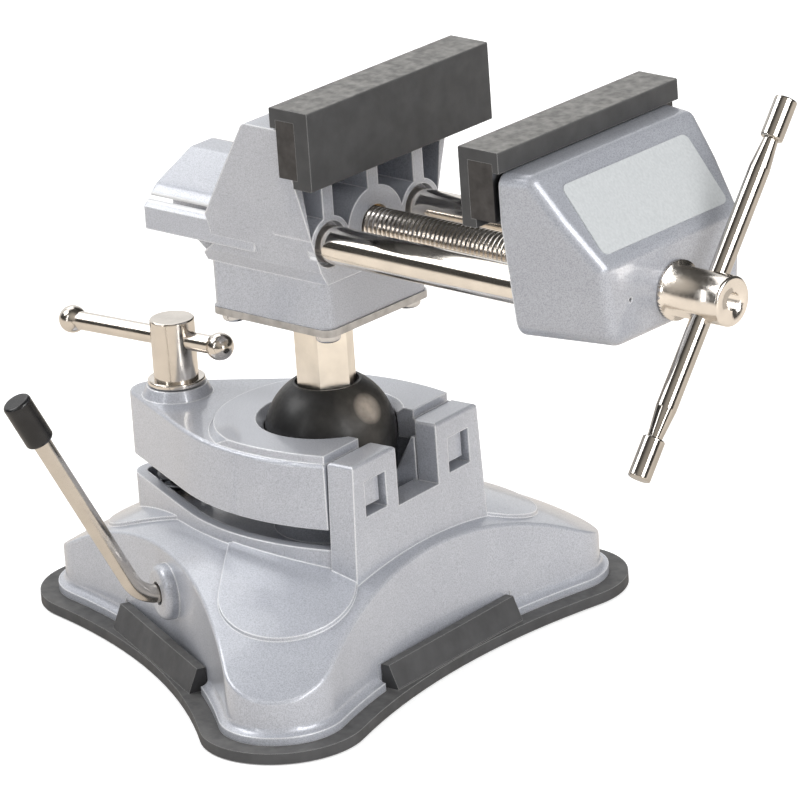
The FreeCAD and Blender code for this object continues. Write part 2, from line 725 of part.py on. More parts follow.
def clamp_washer():
    low = up_from(CLAMP_AXIS, WASHER_LOW)
    high = up_from(CLAMP_AXIS, CLAMP_HEAD_LOW)
    ring = rod(WASHER_R, low, high)
    ring = ring.makeFillet(WASHER_T / 3, [edge for edge in ring.Edges if edge.Closed])
    return ring.cut(rod(CLAMP_R + FIT, low, high))


def clamp_bar():
    left = BAR_POINT - Vector(BAR_LONG, 0, 0)
    right = BAR_POINT + Vector(BAR_SHORT, 0, 0)
    inset = Vector(KNOB_R - EDGE, 0, 0)
    pin = Vector(PIN_IN, 0, 0)
    return fuse_all([rod(BAR_R, left + inset, right - inset), rod(PIN_R, left - pin / 2, right + pin / 2)])


def clamp_knobs():
    bar = clamp_bar()
    knobs = []
    for x in (-BAR_LONG, BAR_SHORT):
        # The sphere's poles lie on the bar, where its hole takes them away
        knob = Part.makeSphere(KNOB_R, BAR_POINT + Vector(x, 0, 0), Vector(1, 0, 0))
        knobs.append(knob.cut(bar))
    return Part.makeCompound(knobs)


# Coil spring: one tube on pairs of arcs, each pair a quarter turn of the helix
def helix_point(angle, z_per_turn, low):
    a = math.radians(angle)
    return Vector(SPRING_R * math.cos(a), SPRING_R * math.sin(a), low + z_per_turn * angle / 360)


def helix_tangent(angle, z_per_turn):
    a = math.radians(angle)
    climb = z_per_turn / (2 * math.pi)
    return Vector(-SPRING_R * math.sin(a), SPRING_R * math.cos(a), climb).normalize()


def arc_to(start, tangent, end):
    chord = end - start
    unit = Vector(chord).normalize()
    along = tangent.dot(unit)
    across = tangent - unit * along
    height = chord.Length / 2 * math.tan(math.acos(along) / 2)
    return Part.Arc(start, start + chord / 2 + across.normalize() * height, end).toShape()


def join_radius(angle, step, z_per_turn, low):
    start = helix_point(angle, z_per_turn, low)
    tangent = helix_tangent(angle, z_per_turn)
    middle = math.radians(angle + step / 2)
    outward = Vector(math.cos(middle), math.sin(middle), 0)
    height = helix_point(angle + step / 2, z_per_turn, low).z
    near = SPRING_R / 2
    far = SPRING_R * 2
    for _ in range(60):
        radius = (near + far) / 2
        chord = outward * radius + Vector(0, 0, height) - start
        leaving = chord * (2 * chord.dot(tangent) / chord.dot(chord)) - tangent
        if leaving.dot(outward) > 0:
            far = radius
        else:
            near = radius
    return outward * radius + Vector(0, 0, height)


def clamp_spring():
    low = SOCKET_FLOOR + GAP + SPRING_WIRE / 2
    high = PLATE_BOTTOM - GAP - SPRING_WIRE / 2
    z_per_turn = (high - low) / SPRING_TURNS
    step = 90
    edges = []
    for k in range(4 * SPRING_TURNS):
        angle = step * k
        start = helix_point(angle, z_per_turn, low)
        end = helix_point(angle + step, z_per_turn, low)
        join = join_radius(angle, step, z_per_turn, low)
        first = arc_to(start, helix_tangent(angle, z_per_turn), join)
        second = arc_to(end, helix_tangent(angle + step, z_per_turn) * -1, join)
        edges.extend([first, second])
    path = Part.Wire(edges)
    ring = Part.Wire([Part.Circle(helix_point(0, z_per_turn, low), helix_tangent(0, z_per_turn),
                                  SPRING_WIRE / 2).toShape()])
    shell = Part.BRepOffsetAPI.MakePipeShell(path)
    shell.add(ring)
    shell.build()
    shell.makeSolid()
    spring = shell.shape()
    spring.translate(CLAMP_AXIS)
    points = path.discretize(Number=40 * SPRING_TURNS + 1)
    least = min(a.distanceToPoint(b) for i, a in enumerate(points) for b in points[i + 20:])
    print("spring least gap", round(least - SPRING_WIRE, 2), "mm")
    return Part.Solid(spring) if spring.ShapeType == "Shell" else spring


# Ball, post and the plate under the head, on the head's own axes
HEAD_AXIS_BALL = Vector(0, 0, BALL_Z)
BALL_TOP = BALL_Z + BALL_FLAT
POST_LOW = BALL_TOP - POST_SINK


def steel_ball():
    sphere = ball(BALL_R, HEAD_AXIS_BALL)
    sphere = sphere.cut(box(-BALL_R, BALL_R, -BALL_R, BALL_R, BALL_TOP, BALL_Z + BALL_R + EDGE))
    corner = POST_AF / math.sqrt(3) + POST_RECESS
    sphere = sphere.cut(rod(corner, up_from(ORIGIN, POST_LOW), up_from(ORIGIN, BALL_TOP + EDGE)))
    hole_low = POST_LOW - POST_SHANK_IN - EDGE
    return sphere.cut(rod(POST_SHANK_R + FIT, up_from(ORIGIN, hole_low), up_from(ORIGIN, BALL_TOP)))


BOTTOM_HIGH = BOTTOM_LOW + BOTTOM_T
NUT_LOW = BOTTOM_HIGH + POST_WASHER_T
NUT_HIGH = NUT_LOW + POST_NUT_H


def hex_post():
    body = hexagon(POST_AF, POST_LOW, BOTTOM_LOW)
    low = POST_LOW - POST_SHANK_IN
    shank = rod(POST_SHANK_R, up_from(ORIGIN, low), up_from(ORIGIN, NUT_HIGH + EDGE))
    return body.fuse(shank).removeSplitter()


def post_nut():
    washer = rod(POST_WASHER_R, up_from(ORIGIN, BOTTOM_HIGH), up_from(ORIGIN, NUT_LOW))
    shank = rod(POST_SHANK_R, up_from(ORIGIN, 0), up_from(ORIGIN, NUT_HIGH + EDGE))
    return washer.fuse(hexagon(POST_NUT_AF, NUT_LOW, NUT_HIGH)).cut(shank)


def corner_places():
    half_x = BOTTOM_HALF_X - SCREW_INSET
    half_y = BOTTOM_HALF_Y - SCREW_INSET
    return [Vector(sx * half_x, sy * half_y, 0) for sx in (-1, 1) for sy in (-1, 1)]


def bottom_plate():
    plate = box(-BOTTOM_HALF_X, BOTTOM_HALF_X, -BOTTOM_HALF_Y, BOTTOM_HALF_Y, BOTTOM_LOW, BOTTOM_HIGH)

    def upright(edge):
        return edge.BoundBox.ZLength > BOTTOM_T / 2

    plate = plate.makeFillet(BOTTOM_CORNER, edges_where(plate, upright))
    plate = plate.cut(rod(POST_SHANK_R, up_from(ORIGIN, 0), up_from(ORIGIN, ROD_Z)))
    for place in corner_places():
        plate = plate.cut(rod(SCREW_R, place, up_from(place, ROD_Z)))
    return plate


def plate_screws():
    screws = []
    for place in corner_places():
        low = up_from(place, BOTTOM_LOW - SCREW_HEAD_H)
        head = rod(SCREW_HEAD_R, low, up_from(place, BOTTOM_LOW))

        def foot_edge(edge):
            return edge.Closed and edge.BoundBox.ZMax < BOTTOM_LOW - SCREW_HEAD_H / 2

        head = head.makeFillet(SCREW_HEAD_H / 2, edges_where(head, foot_edge))
        shank = rod(SCREW_R, up_from(place, BOTTOM_LOW), up_from(place, BOTTOM_LOW + SCREW_L))
        slot_top = low.z + SLOT_DEPTH
        arm = SCREW_HEAD_R * SLOT_REACH_SHARE
        slot_a = box(place.x - arm, place.x + arm, place.y - SLOT_W / 2, place.y + SLOT_W / 2, low.z - EDGE, slot_top)
        slot_b = box(place.x - SLOT_W / 2, place.x + SLOT_W / 2, place.y - arm, place.y + arm, low.z - EDGE, slot_top)
        screws.append(head.fuse(shank).cut(slot_a).cut(slot_b))
    return Part.makeCompound(screws)


def rod_axes():
    return [Vector(0, -ROD_PITCH / 2, ROD_Z), Vector(0, ROD_PITCH / 2, ROD_Z)]


def along_x(radius, axis, x0, x1):
    return rod(radius, Vector(x0, axis.y, axis.z), Vector(x1, axis.y, axis.z))


LEAD_AXIS = Vector(0, 0, ROD_Z)


# Recess in a jaw's face below its plate: bosses and upright ribs are left standing
def face_recess(x_face, inward, top_half):
    x0, x1 = sorted((x_face - inward * EDGE, x_face + inward * RECESS_DEPTH))
    low_half = top_half - (PLATE_LOW - RECESS_LOW) * FLANK_LEAN / 2
    points = [Vector(x0, -low_half, RECESS_LOW), Vector(x0, low_half, RECESS_LOW),
              Vector(x0, top_half, PLATE_LOW), Vector(x0, -top_half, PLATE_LOW)]
    recess = prism(points, Vector(x1 - x0, 0, 0))
    for axis in rod_axes():
        recess = recess.cut(along_x(ROD_BOSS_R, axis, x0, x1))
    recess = recess.cut(along_x(SCREW_BOSS_OUT, LEAD_AXIS, x0, x1))
    for y in (-ROD_PITCH / 2, 0, ROD_PITCH / 2):
        recess = recess.cut(box(x0, x1, y - RIB_HALF, y + RIB_HALF, ROD_Z, PLATE_LOW))
    return recess


def flank_half(z):
    return FLANK_HALF + FLANK_LEAN * (z - SHELF_HIGH)


# The long edges of the anvil's roof at one height
def ridge_edges(anvil, level):
    def on_ridge(edge):
        box_of = edge.BoundBox
        return box_of.XLength > EDGE and abs(box_of.ZMin - level) < FIT and abs(box_of.ZMax - level) < FIT

    return edges_where(anvil, on_ridge)


def fixed_jaw():
    front = FIXED_FRONT
    box_low = BOTTOM_HIGH
    side = [(front, SHELF_LOW), (front, FIXED_TOP), (TOP_BACK, FIXED_TOP), (SLOPE_X, SLOPE_Z),
            (SLOPE_X, ANVIL_LOW), (-BOX_HALF_X, BOX_TOP), (-BOX_HALF_X, SHELF_LOW)]
    profile = prism([Vector(x, -JAW_HALF - EDGE, z) for x, z in side], Vector(0, 2 * (JAW_HALF + EDGE), 0))
    low_half = flank_half(SHELF_HIGH)
    top_half = flank_half(FIXED_TOP)
    cross = [(-BOX_HALF_Y, SHELF_LOW), (BOX_HALF_Y, SHELF_LOW), (low_half, SHELF_HIGH),
             (top_half, FIXED_TOP), (-top_half, FIXED_TOP), (-low_half, SHELF_HIGH)]
    wedge = prism([Vector(ANVIL_END, y, z) for y, z in cross], Vector(front - ANVIL_END, 0, 0))
    block = profile.common(wedge)

    def top_edges(edge):
        return edge.BoundBox.ZMin > FIXED_TOP - EDGE / 2 and edge.BoundBox.XLength < EDGE / 2

    block = block.makeFillet(TOP_ROUND, [e for e in edges_where(block, top_edges) if e.BoundBox.XMax < front - EDGE])

    lower = box(-BOX_HALF_X, BOX_HALF_X, -BOX_HALF_Y, BOX_HALF_Y, box_low, BOX_TOP + EDGE)

    def upright(edge):
        return edge.BoundBox.ZLength > EDGE and edge.BoundBox.XLength < EDGE

    lower = lower.makeFillet(BOTTOM_CORNER, edges_where(lower, upright))

    cross = [(-ANVIL_HALF, ANVIL_LOW), (ANVIL_HALF, ANVIL_LOW), (ANVIL_HALF, ANVIL_STRIP),
             (ANVIL_HIP_HALF, ANVIL_HIP), (ANVIL_CREST_HALF, ANVIL_CREST), (-ANVIL_CREST_HALF, ANVIL_CREST),
             (-ANVIL_HIP_HALF, ANVIL_HIP), (-ANVIL_HALF, ANVIL_STRIP)]
    anvil = prism([Vector(ANVIL_END, y, z) for y, z in cross], Vector(-ANVIL_END, 0, 0))
    anvil = anvil.makeFillet(ANVIL_CREST_ROUND, ridge_edges(anvil, ANVIL_CREST))
    anvil = anvil.makeFillet(ANVIL_HIP_ROUND, ridge_edges(anvil, ANVIL_HIP))
    anvil = anvil.makeFillet(EDGE, edges_where(anvil, lambda e: e.BoundBox.XMax < ANVIL_END + EDGE / 2))
    cove = [(ANVIL_COVE, ANVIL_LOW), (SLOPE_X, ANVIL_LOW), (SLOPE_X, BOX_TOP), (-BOX_HALF_X, BOX_TOP)]
    cove = prism([Vector(x, -BOX_HALF_Y, z) for x, z in cove], Vector(0, 2 * BOX_HALF_Y, 0))
    body = fuse_all([block, lower, anvil, cove])

    inner_x = BOX_HALF_X - BOX_WALL
    inner_y = BOX_HALF_Y - BOX_WALL
    cavity = box(-inner_x, inner_x, -inner_y, inner_y, box_low - EDGE, NUT_HIGH + 2 * EDGE)
    for place in corner_places():
        cavity = cavity.cut(rod(SCREW_BOSS_R, place, up_from(place, ROD_Z)))
    cuts = [cavity]
    for place in corner_places():
        cuts.append(rod(SCREW_R, place, up_from(place, BOTTOM_LOW + SCREW_L + EDGE)))
    cuts.append(face_recess(front, -1, flank_half(PLATE_LOW) - RECESS_WALL))
    bearing_end = front - ROD_BEARING
    for axis in rod_axes():
        cuts.append(along_x(ROD_R + FIT, axis, bearing_end - EDGE, front + EDGE))
        cuts.append(along_x(ROD_R + ROD_CLEAR, axis, ANVIL_END - EDGE, bearing_end))
        cuts.append(along_x(ROD_MOUTH_R, axis, front - ROD_MOUTH_DEPTH, front + EDGE))
    cuts.append(along_x(NUT_R, LEAD_AXIS, front - NUT_SINK - NUT_L, front - NUT_SINK))
    cuts.append(along_x(LEAD_R + NUT_MOUTH, LEAD_AXIS, front - NUT_SINK - EDGE, front + EDGE))
    cuts.append(along_x(LEAD_R + ROD_CLEAR, LEAD_AXIS, ANVIL_END - EDGE, front))
    for y in jaw_screw_places():
        cuts.append(along_x(JAW_SCREW_R, Vector(0, y, JAW_SCREW_Z), front - JAW_SCREW_IN - EDGE, front + EDGE))
    return cut_all(body, cuts)


def screw_nut():
    front = FIXED_FRONT
    back = front - NUT_SINK - NUT_L
    nut = along_x(NUT_R, LEAD_AXIS, back, front - NUT_SINK)
    return nut.cut(along_x(LEAD_R + FIT, LEAD_AXIS, back - EDGE, front + EDGE))


def jaw_screw_places():
    return (-ROD_PITCH / 2, ROD_PITCH / 2)



# A steel plate with two countersunk holes; face is its side towards the gap and inward points to the jaw
def jaw_plate(face, inward, thick):
    x0, x1 = sorted((face, face + inward * thick))
    plate = box(x0, x1, -JAW_HALF, JAW_HALF, PLATE_LOW, PLATE_TOP)
    for y in jaw_screw_places():
        centre = Vector(face, y, JAW_SCREW_Z)
        toward = Vector(inward, 0, 0)
        plate = plate.cut(rod(JAW_SCREW_R, centre - toward * EDGE, centre + toward * (thick + EDGE)))
        plate = plate.cut(Part.makeCone(JAW_SCREW_HEAD_R, JAW_SCREW_R, JAW_SCREW_HEAD_H, centre, toward))
    return plate


def jaw_screws(face, inward, thick):
    screws = []
    toward = Vector(inward, 0, 0)
    for y in jaw_screw_places():
        centre = Vector(face, y, JAW_SCREW_Z)
        head = Part.makeCone(JAW_SCREW_HEAD_R, JAW_SCREW_R, JAW_SCREW_HEAD_H, centre, toward)
        shank = rod(JAW_SCREW_R, centre + toward * JAW_SCREW_HEAD_H, centre + toward * (thick + JAW_SCREW_IN))
        screws.append(head.fuse(shank).removeSplitter())
    return Part.makeCompound(screws)


# Soft cover: front sheet, roof, a lip behind the plate and a short toe under it
def jaw_cover(face, inward, cover_t, plate_t):
    plate_face = face + inward * cover_t
    back = plate_face + inward * plate_t
    section = [(face, COVER_LOW), (face, COVER_TOP), (back + inward * COVER_LIP, COVER_TOP),
               (back + inward * COVER_LIP, COVER_LIP_LOW), (back, COVER_LIP_LOW), (back, PLATE_TOP),
               (plate_face, PLATE_TOP), (plate_face, PLATE_LOW), (plate_face + inward * COVER_TOE, PLATE_LOW),
               (plate_face + inward * COVER_TOE, PLATE_LOW - COVER_TOE_T), (face, COVER_LOW)]
    points = [Vector(x, -JAW_HALF, z) for x, z in section[:-1]]
    cover = prism(points, Vector(0, 2 * JAW_HALF, 0))

    def long_outer(edge):
        box_of = edge.BoundBox
        on_top = box_of.ZMin > COVER_TOP - SEAT_GAP
        on_foot = box_of.ZMax < COVER_LOW + SEAT_GAP and abs(box_of.XMin - face) < SEAT_GAP
        return box_of.YLength > JAW_HALF and (on_top or on_foot)

    return cover.makeFillet(EDGE / 2, edges_where(cover, long_outer))


# Moving jaw: planar flanks that lean in towards the front, and a sloped top for the label
def moving_jaw():
    length = MOVING_FRONT - MOVING_BACK
    low_half = MOVING_HALF - MOVING_LEAN * (MOVING_KNEE - MOVING_LOW)
    inner = -MOVING_HALF - length
    section = [(inner, MOVING_LOW), (low_half, MOVING_LOW), (MOVING_HALF, MOVING_KNEE),
               (MOVING_HALF, MOVING_TOP), (inner, MOVING_TOP)]
    half = prism([Vector(MOVING_BACK, y, z) for y, z in section], Vector(length, -MOVING_TAPER * length, 0))
    body = half.common(mirrored_y(half))
    fall = (MOVING_TOP - MOVING_SLOPE_END) / (MOVING_FRONT - MOVING_SHOULDER)
    beyond = MOVING_FRONT + length
    wedge = [(MOVING_SHOULDER, MOVING_TOP), (beyond, MOVING_TOP - fall * (beyond - MOVING_SHOULDER)),
             (beyond, MOVING_TOP + EDGE), (MOVING_SHOULDER, MOVING_TOP + EDGE)]
    body = body.cut(prism([Vector(x, -JAW_HALF, z) for x, z in wedge], Vector(0, 2 * JAW_HALF, 0)))

    def low_corner(edge):
        box_of = edge.BoundBox
        return box_of.ZMax < MOVING_LOW + EDGE and box_of.XLength > length / 2

    body = body.makeFillet(MOVING_CORNER, edges_where(body, low_corner))

    def soft_edge(edge):
        return edge.BoundBox.XMax > MOVING_BACK + EDGE and edge.Length > 2 * EDGE

    body = body.makeFillet(MOVING_EDGE, edges_where(body, soft_edge))
    top_half = MOVING_HALF - RECESS_WALL - EDGE
    cuts = [face_recess(MOVING_BACK, 1, top_half)]
    for axis in rod_axes():
        cuts.append(along_x(ROD_R, axis, MOVING_BACK - EDGE, MOVING_BACK + ROD_BLIND))
        vent = axis + Vector(0, 0, ROD_R / 2)
        cuts.append(along_x(VENT_R, vent, MOVING_BACK, MOVING_FRONT + EDGE))
    cuts.append(along_x(LEAD_R + FIT, LEAD_AXIS, MOVING_BACK - EDGE, MOVING_FRONT + EDGE))
    screw_from = MOVING_PLATE_FACE + MOVING_PLATE_T
    for y in jaw_screw_places():
        axis = Vector(0, y, JAW_SCREW_Z)
        cuts.append(along_x(JAW_SCREW_R, axis, MOVING_BACK - EDGE, screw_from + JAW_SCREW_IN + EDGE))
    return cut_all(body, cuts)


def guide_rods():
    tail = MOVING_BACK - ROD_TAIL
    rods = []
    for axis in rod_axes():
        bar = along_x(ROD_R, axis, tail, MOVING_BACK + ROD_BLIND)

        def end_edge(edge):
            return edge.Closed and edge.BoundBox.XLength < EDGE

        rods.append(bar.makeChamfer(EDGE / 2, edges_where(bar, end_edge)))
    return Part.makeCompound(rods)


def label_plate():
    slope = Vector(MOVING_FRONT - MOVING_SHOULDER, 0, MOVING_SLOPE_END - MOVING_TOP).normalize()
    normal = Vector(-slope.z, 0, slope.x)
    start = Vector(MOVING_SHOULDER, 0, MOVING_TOP) + slope * LABEL_START
    side = Vector(0, LABEL_L / 2, 0)
    end = start + slope * LABEL_W
    plate = prism([start - side, start + side, end + side, end - side], normal * LABEL_T)

    def corner(edge):
        return edge.Length < LABEL_T * 2

    return plate.makeFillet(LABEL_CORNER, edges_where(plate, corner))


# Lead screw: one turned bar, shown at its thread's outer diameter
COLLAR_END = MOVING_FRONT + COLLAR_T
THRUST_X = MOVING_BACK - THRUST_T
LEAD_CLIP_X = THRUST_X - LEAD_CLIP_T - FIT
TBAR_AXIS = Vector(0, math.sin(math.radians(TBAR_TILT)), math.cos(math.radians(TBAR_TILT)))
TBAR_CENTRE = Vector(TBAR_X, 0, ROD_Z)


def lead_screw():
    shaft = along_x(LEAD_R, LEAD_AXIS, LEAD_TAIL, HEAD_END - EDGE)
    collar = along_x(COLLAR_R, LEAD_AXIS, MOVING_FRONT + FIT, COLLAR_END)
    head = along_x(HEAD_R, LEAD_AXIS, COLLAR_END - FIT, HEAD_END)

    def rim(edge):
        return edge.Closed and edge.BoundBox.XMin > HEAD_END - EDGE / 2

    head = head.makeFillet(HEAD_RIM, edges_where(head, rim))
    body = fuse_all([shaft, collar, head])
    groove = along_x(LEAD_R + EDGE, LEAD_AXIS, LEAD_CLIP_X, LEAD_CLIP_X + LEAD_CLIP_T)
    core = along_x(LEAD_R - EDGE, LEAD_AXIS, LEAD_CLIP_X, LEAD_CLIP_X + LEAD_CLIP_T)
    across = TBAR_AXIS * (2 * HEAD_R)
    cuts = [groove.cut(core), rod(TBAR_R + FIT, TBAR_CENTRE - across, TBAR_CENTRE + across)]
    cuts.append(along_x(CENTRE_R, LEAD_AXIS, HEAD_END - CENTRE_DEPTH, HEAD_END + EDGE))
    return cut_all(body, cuts)


def screw_clip():
    clip = along_x(LEAD_CLIP_R, LEAD_AXIS, LEAD_CLIP_X, LEAD_CLIP_X + LEAD_CLIP_T)
    clip = clip.cut(along_x(LEAD_R - EDGE, LEAD_AXIS, LEAD_CLIP_X - EDGE, LEAD_CLIP_X + 2 * LEAD_CLIP_T))
    half = LEAD_R - 2 * EDGE
    return clip.cut(box(LEAD_CLIP_X - EDGE, MOVING_BACK, -half, half, ROD_Z - LEAD_CLIP_R - EDGE, ROD_Z))


def thrust_washer():
    washer = along_x(THRUST_R, LEAD_AXIS, THRUST_X, MOVING_BACK)
    return washer.cut(along_x(LEAD_R + FIT, LEAD_AXIS, THRUST_X - EDGE, MOVING_BACK + EDGE))


def tbar_rod():
    def at(distance):
        return TBAR_CENTRE + TBAR_AXIS * distance

    top = TBAR_UP - TBAR_CAP_L
    foot = -TBAR_DOWN + TBAR_CAP_L
    pieces = [rod(TBAR_R, at(foot + TBAR_TAPER), at(top - TBAR_TAPER))]
    pieces.append(Part.makeCone(TBAR_R, TBAR_NECK, TBAR_TAPER, at(top - TBAR_TAPER), TBAR_AXIS))
    pieces.append(Part.makeCone(TBAR_R, TBAR_NECK, TBAR_TAPER, at(foot + TBAR_TAPER), TBAR_AXIS * -1))
    pieces.append(rod(TBAR_NECK, at(foot - TBAR_CAP_L / 2), at(top + TBAR_CAP_L / 2)))
    return fuse_all(pieces)


def tbar_caps():
    bar = tbar_rod()
    caps = []
    for start, end in ((TBAR_UP - TBAR_CAP_L, TBAR_UP), (-TBAR_DOWN, -TBAR_DOWN + TBAR_CAP_L)):
        cap = rod(TBAR_CAP_R, TBAR_CENTRE + TBAR_AXIS * start, TBAR_CENTRE + TBAR_AXIS * end)
        cap = cap.makeFillet(TBAR_CAP_ROUND, [edge for edge in cap.Edges if edge.Closed])
        caps.append(cap.cut(bar))
    return Part.makeCompound(caps)


# Base group, set down askew under the head
save("base_casting", place_base(base_casting()))
save("suction_pad", place_base(suction_pad()))
save("pad_stud", place_base(pad_stud()))
save("lift_cam", place_base(lift_cam()))
save("suction_lever", place_base(suction_lever()))
save("lever_clip", place_base(lever_clip()))
save("lever_cap", place_base(lever_cap()))
save("clamp_plate", place_base(clamp_plate()))
save("clamp_screw", place_base(clamp_screw()))
save("clamp_washer", place_base(clamp_washer()))
save("clamp_bar", place_base(clamp_bar()))
save("clamp_bar_knobs", place_base(clamp_knobs()), 2)
save("clamp_spring", place_base(clamp_spring()))

# Head group
save("ball", steel_ball())
save("hex_post", hex_post())
save("post_nut", post_nut())
save("bottom_plate", bottom_plate())
save("plate_screws", plate_screws(), 4)
save("fixed_jaw", fixed_jaw())
save("screw_nut", screw_nut())
fixed_plate_face = FIXED_FACE - FIXED_COVER_T
save("fixed_jaw_plate", jaw_plate(fixed_plate_face, -1, FIXED_PLATE_T))
save("fixed_plate_screws", jaw_screws(fixed_plate_face, -1, FIXED_PLATE_T), 2)
save("fixed_jaw_cover", jaw_cover(FIXED_FACE, -1, FIXED_COVER_T, FIXED_PLATE_T))
save("moving_jaw", moving_jaw())
save("guide_rods", guide_rods(), 2)
save("moving_jaw_plate", jaw_plate(MOVING_PLATE_FACE, 1, MOVING_PLATE_T))
save("moving_plate_screws", jaw_screws(MOVING_PLATE_FACE, 1, MOVING_PLATE_T), 2)
save("moving_jaw_cover", jaw_cover(MOVING_FACE, 1, MOVING_COVER_T, MOVING_PLATE_T))
save("label_plate", label_plate())
save("lead_screw", lead_screw())
save("screw_clip", screw_clip())
save("thrust_washer", thrust_washer())
save("tbar_rod", tbar_rod())
save("tbar_caps", tbar_caps(), 2)
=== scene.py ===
import math

import bmesh
import bpy
from mathutils import Matrix, Vector


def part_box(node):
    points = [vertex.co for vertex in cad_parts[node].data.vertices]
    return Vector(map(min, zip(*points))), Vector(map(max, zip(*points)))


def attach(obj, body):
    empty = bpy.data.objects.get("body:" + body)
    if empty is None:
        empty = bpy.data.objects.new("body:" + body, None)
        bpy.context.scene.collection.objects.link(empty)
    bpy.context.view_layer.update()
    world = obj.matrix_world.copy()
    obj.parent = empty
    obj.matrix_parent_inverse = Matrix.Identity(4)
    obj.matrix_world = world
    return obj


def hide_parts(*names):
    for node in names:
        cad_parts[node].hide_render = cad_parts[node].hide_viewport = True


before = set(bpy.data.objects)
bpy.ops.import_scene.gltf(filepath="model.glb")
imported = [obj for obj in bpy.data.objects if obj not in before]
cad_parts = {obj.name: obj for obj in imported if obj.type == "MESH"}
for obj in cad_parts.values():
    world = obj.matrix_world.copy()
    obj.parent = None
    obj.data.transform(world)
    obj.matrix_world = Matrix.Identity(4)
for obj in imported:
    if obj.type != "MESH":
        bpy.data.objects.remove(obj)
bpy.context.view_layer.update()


# Camera
# The viewpoint of the reference picture: from the front right, a little above, with the
# whole tool leaning slightly to the left in the frame.
FILM_WIDTH = 36.0
LENS = 327.8
VIEW_REACH = 20.0
VIEW_TURN = math.radians(42.74)
VIEW_RISE = math.radians(19.67)
VIEW_ROLL = math.radians(4.09)
VIEW_AIM = Vector((0.01234, 0.01423, 0.06582))
VIEW_DISTANCE = 1.9116

camera_data = bpy.data.cameras.new("camera")
camera_data.sensor_width = FILM_WIDTH
camera_data.lens = LENS
camera_data.clip_end = VIEW_REACH
camera = bpy.data.objects.new("camera", camera_data)
bpy.context.scene.collection.objects.link(camera)
towards_camera = Vector((math.sin(VIEW_TURN) * math.cos(VIEW_RISE),
                         -math.cos(VIEW_TURN) * math.cos(VIEW_RISE),
                         math.sin(VIEW_RISE)))
camera.location = VIEW_AIM + towards_camera * VIEW_DISTANCE
level_view = towards_camera.to_track_quat("Z", "Y").to_matrix()
camera.rotation_euler = (level_view @ Matrix.Rotation(-VIEW_ROLL, 3, "Z")).to_euler()
bpy.context.scene.camera = camera


# Base casting
# Hollow three-lobed die casting with the ball's cup, the socket and the end wall in one piece.
# It is sprayed with silver enamel that has a fine metal fleck and a slight orange peel, with a
# painted highlight along the edges.
WHITE = (1.0, 1.0, 1.0)
NOISE_LOW = 0.3
NOISE_HIGH = 0.7
ROUNDING_SAMPLES = 4
EDGE_BEGINS = 0.995
EDGE_FULL = 0.94

ENAMEL_DARK = (0.370, 0.384, 0.422)
ENAMEL_LIGHT = (0.515, 0.532, 0.580)
ENAMEL_THICK = (0.93, 0.93, 0.94)
ENAMEL_EDGE_HIGHLIGHT = (0.92, 0.93, 0.95)
ENAMEL_ROUGH = (0.3, 0.46)
FLECK = 0.00032
FLECK_DARK_SHARE = 0.32
FLECK_LIGHT_SHARE = 0.62
SPRAY_PATCH = 0.012
DULL_PATCH = 0.0006
PEEL = 0.0016
PEEL_DEPTH = 0.00003
PEEL_STRENGTH = 0.5
CAST_EDGE = 0.0007
EDGE_HIGHLIGHT_WIDTH = 0.0006
# Each casting gets its own copy of the same enamel, darkened by its share: painted shade for how the
# light falls on that part.
BASE_PAINTED_LIGHT_SHARE = 0.98


def coated(name, **sockets):
    material = bpy.data.materials.new(name)
    material.use_nodes = True
    tree = material.node_tree
    shader = tree.nodes["Principled BSDF"]
    for socket, value in sockets.items():
        shader.inputs[socket.replace("_", " ")].default_value = value
    return material, tree, shader


def shaded(colour, share):
    return tuple(share * part for part in colour)


def cloud(tree, size, detail, stretch=WHITE):
    # A noise whose blobs are about the given size in metres, on the piece's own coordinates
    place = tree.nodes.new("ShaderNodeTexCoord")
    mapping = tree.nodes.new("ShaderNodeMapping")
    mapping.inputs["Scale"].default_value = stretch
    noise = tree.nodes.new("ShaderNodeTexNoise")
    noise.inputs["Scale"].default_value = 1.0 / size
    noise.inputs["Detail"].default_value = detail
    tree.links.new(place.outputs["Object"], mapping.inputs["Vector"])
    tree.links.new(mapping.outputs["Vector"], noise.inputs["Vector"])
    return noise.outputs["Fac"]


def ramp(tree, value, stops):
    node = tree.nodes.new("ShaderNodeValToRGB")
    tree.links.new(value, node.inputs["Fac"])
    for _ in stops[2:]:
        node.color_ramp.elements.new(0.5)
    for element, (position, colour) in zip(node.color_ramp.elements, stops):
        element.position = position
        element.color = (*colour, 1.0)
    return node.outputs["Color"]


def mottle(tree, noise, low, high):
    return ramp(tree, noise, [(NOISE_LOW, low), (NOISE_HIGH, high)])


def remap(tree, value, begins, ends, low=0.0, high=1.0, shape="LINEAR"):
    node = tree.nodes.new("ShaderNodeMapRange")
    node.interpolation_type = shape
    node.inputs["From Min"].default_value = begins
    node.inputs["From Max"].default_value = ends
    node.inputs["To Min"].default_value = low
    node.inputs["To Max"].default_value = high
    tree.links.new(value, node.inputs["Value"])
    return node.outputs["Result"]


def roughen(tree, shader, noise, limits):
    uneven = remap(tree, noise, NOISE_LOW, NOISE_HIGH, *limits)
    tree.links.new(uneven, shader.inputs["Roughness"])


def blend(tree, kind, share, first, second):
    node = tree.nodes.new("ShaderNodeMix")
    node.data_type = "RGBA"
    node.blend_type = kind
    if isinstance(share, float):
        node.inputs["Factor"].default_value = share
    else:
        tree.links.new(share, node.inputs["Factor"])
    tree.links.new(first, node.inputs["A"])
    if isinstance(second, tuple):
        node.inputs["B"].default_value = (*second, 1.0)
    else:
        tree.links.new(second, node.inputs["B"])
    return node.outputs["Result"]


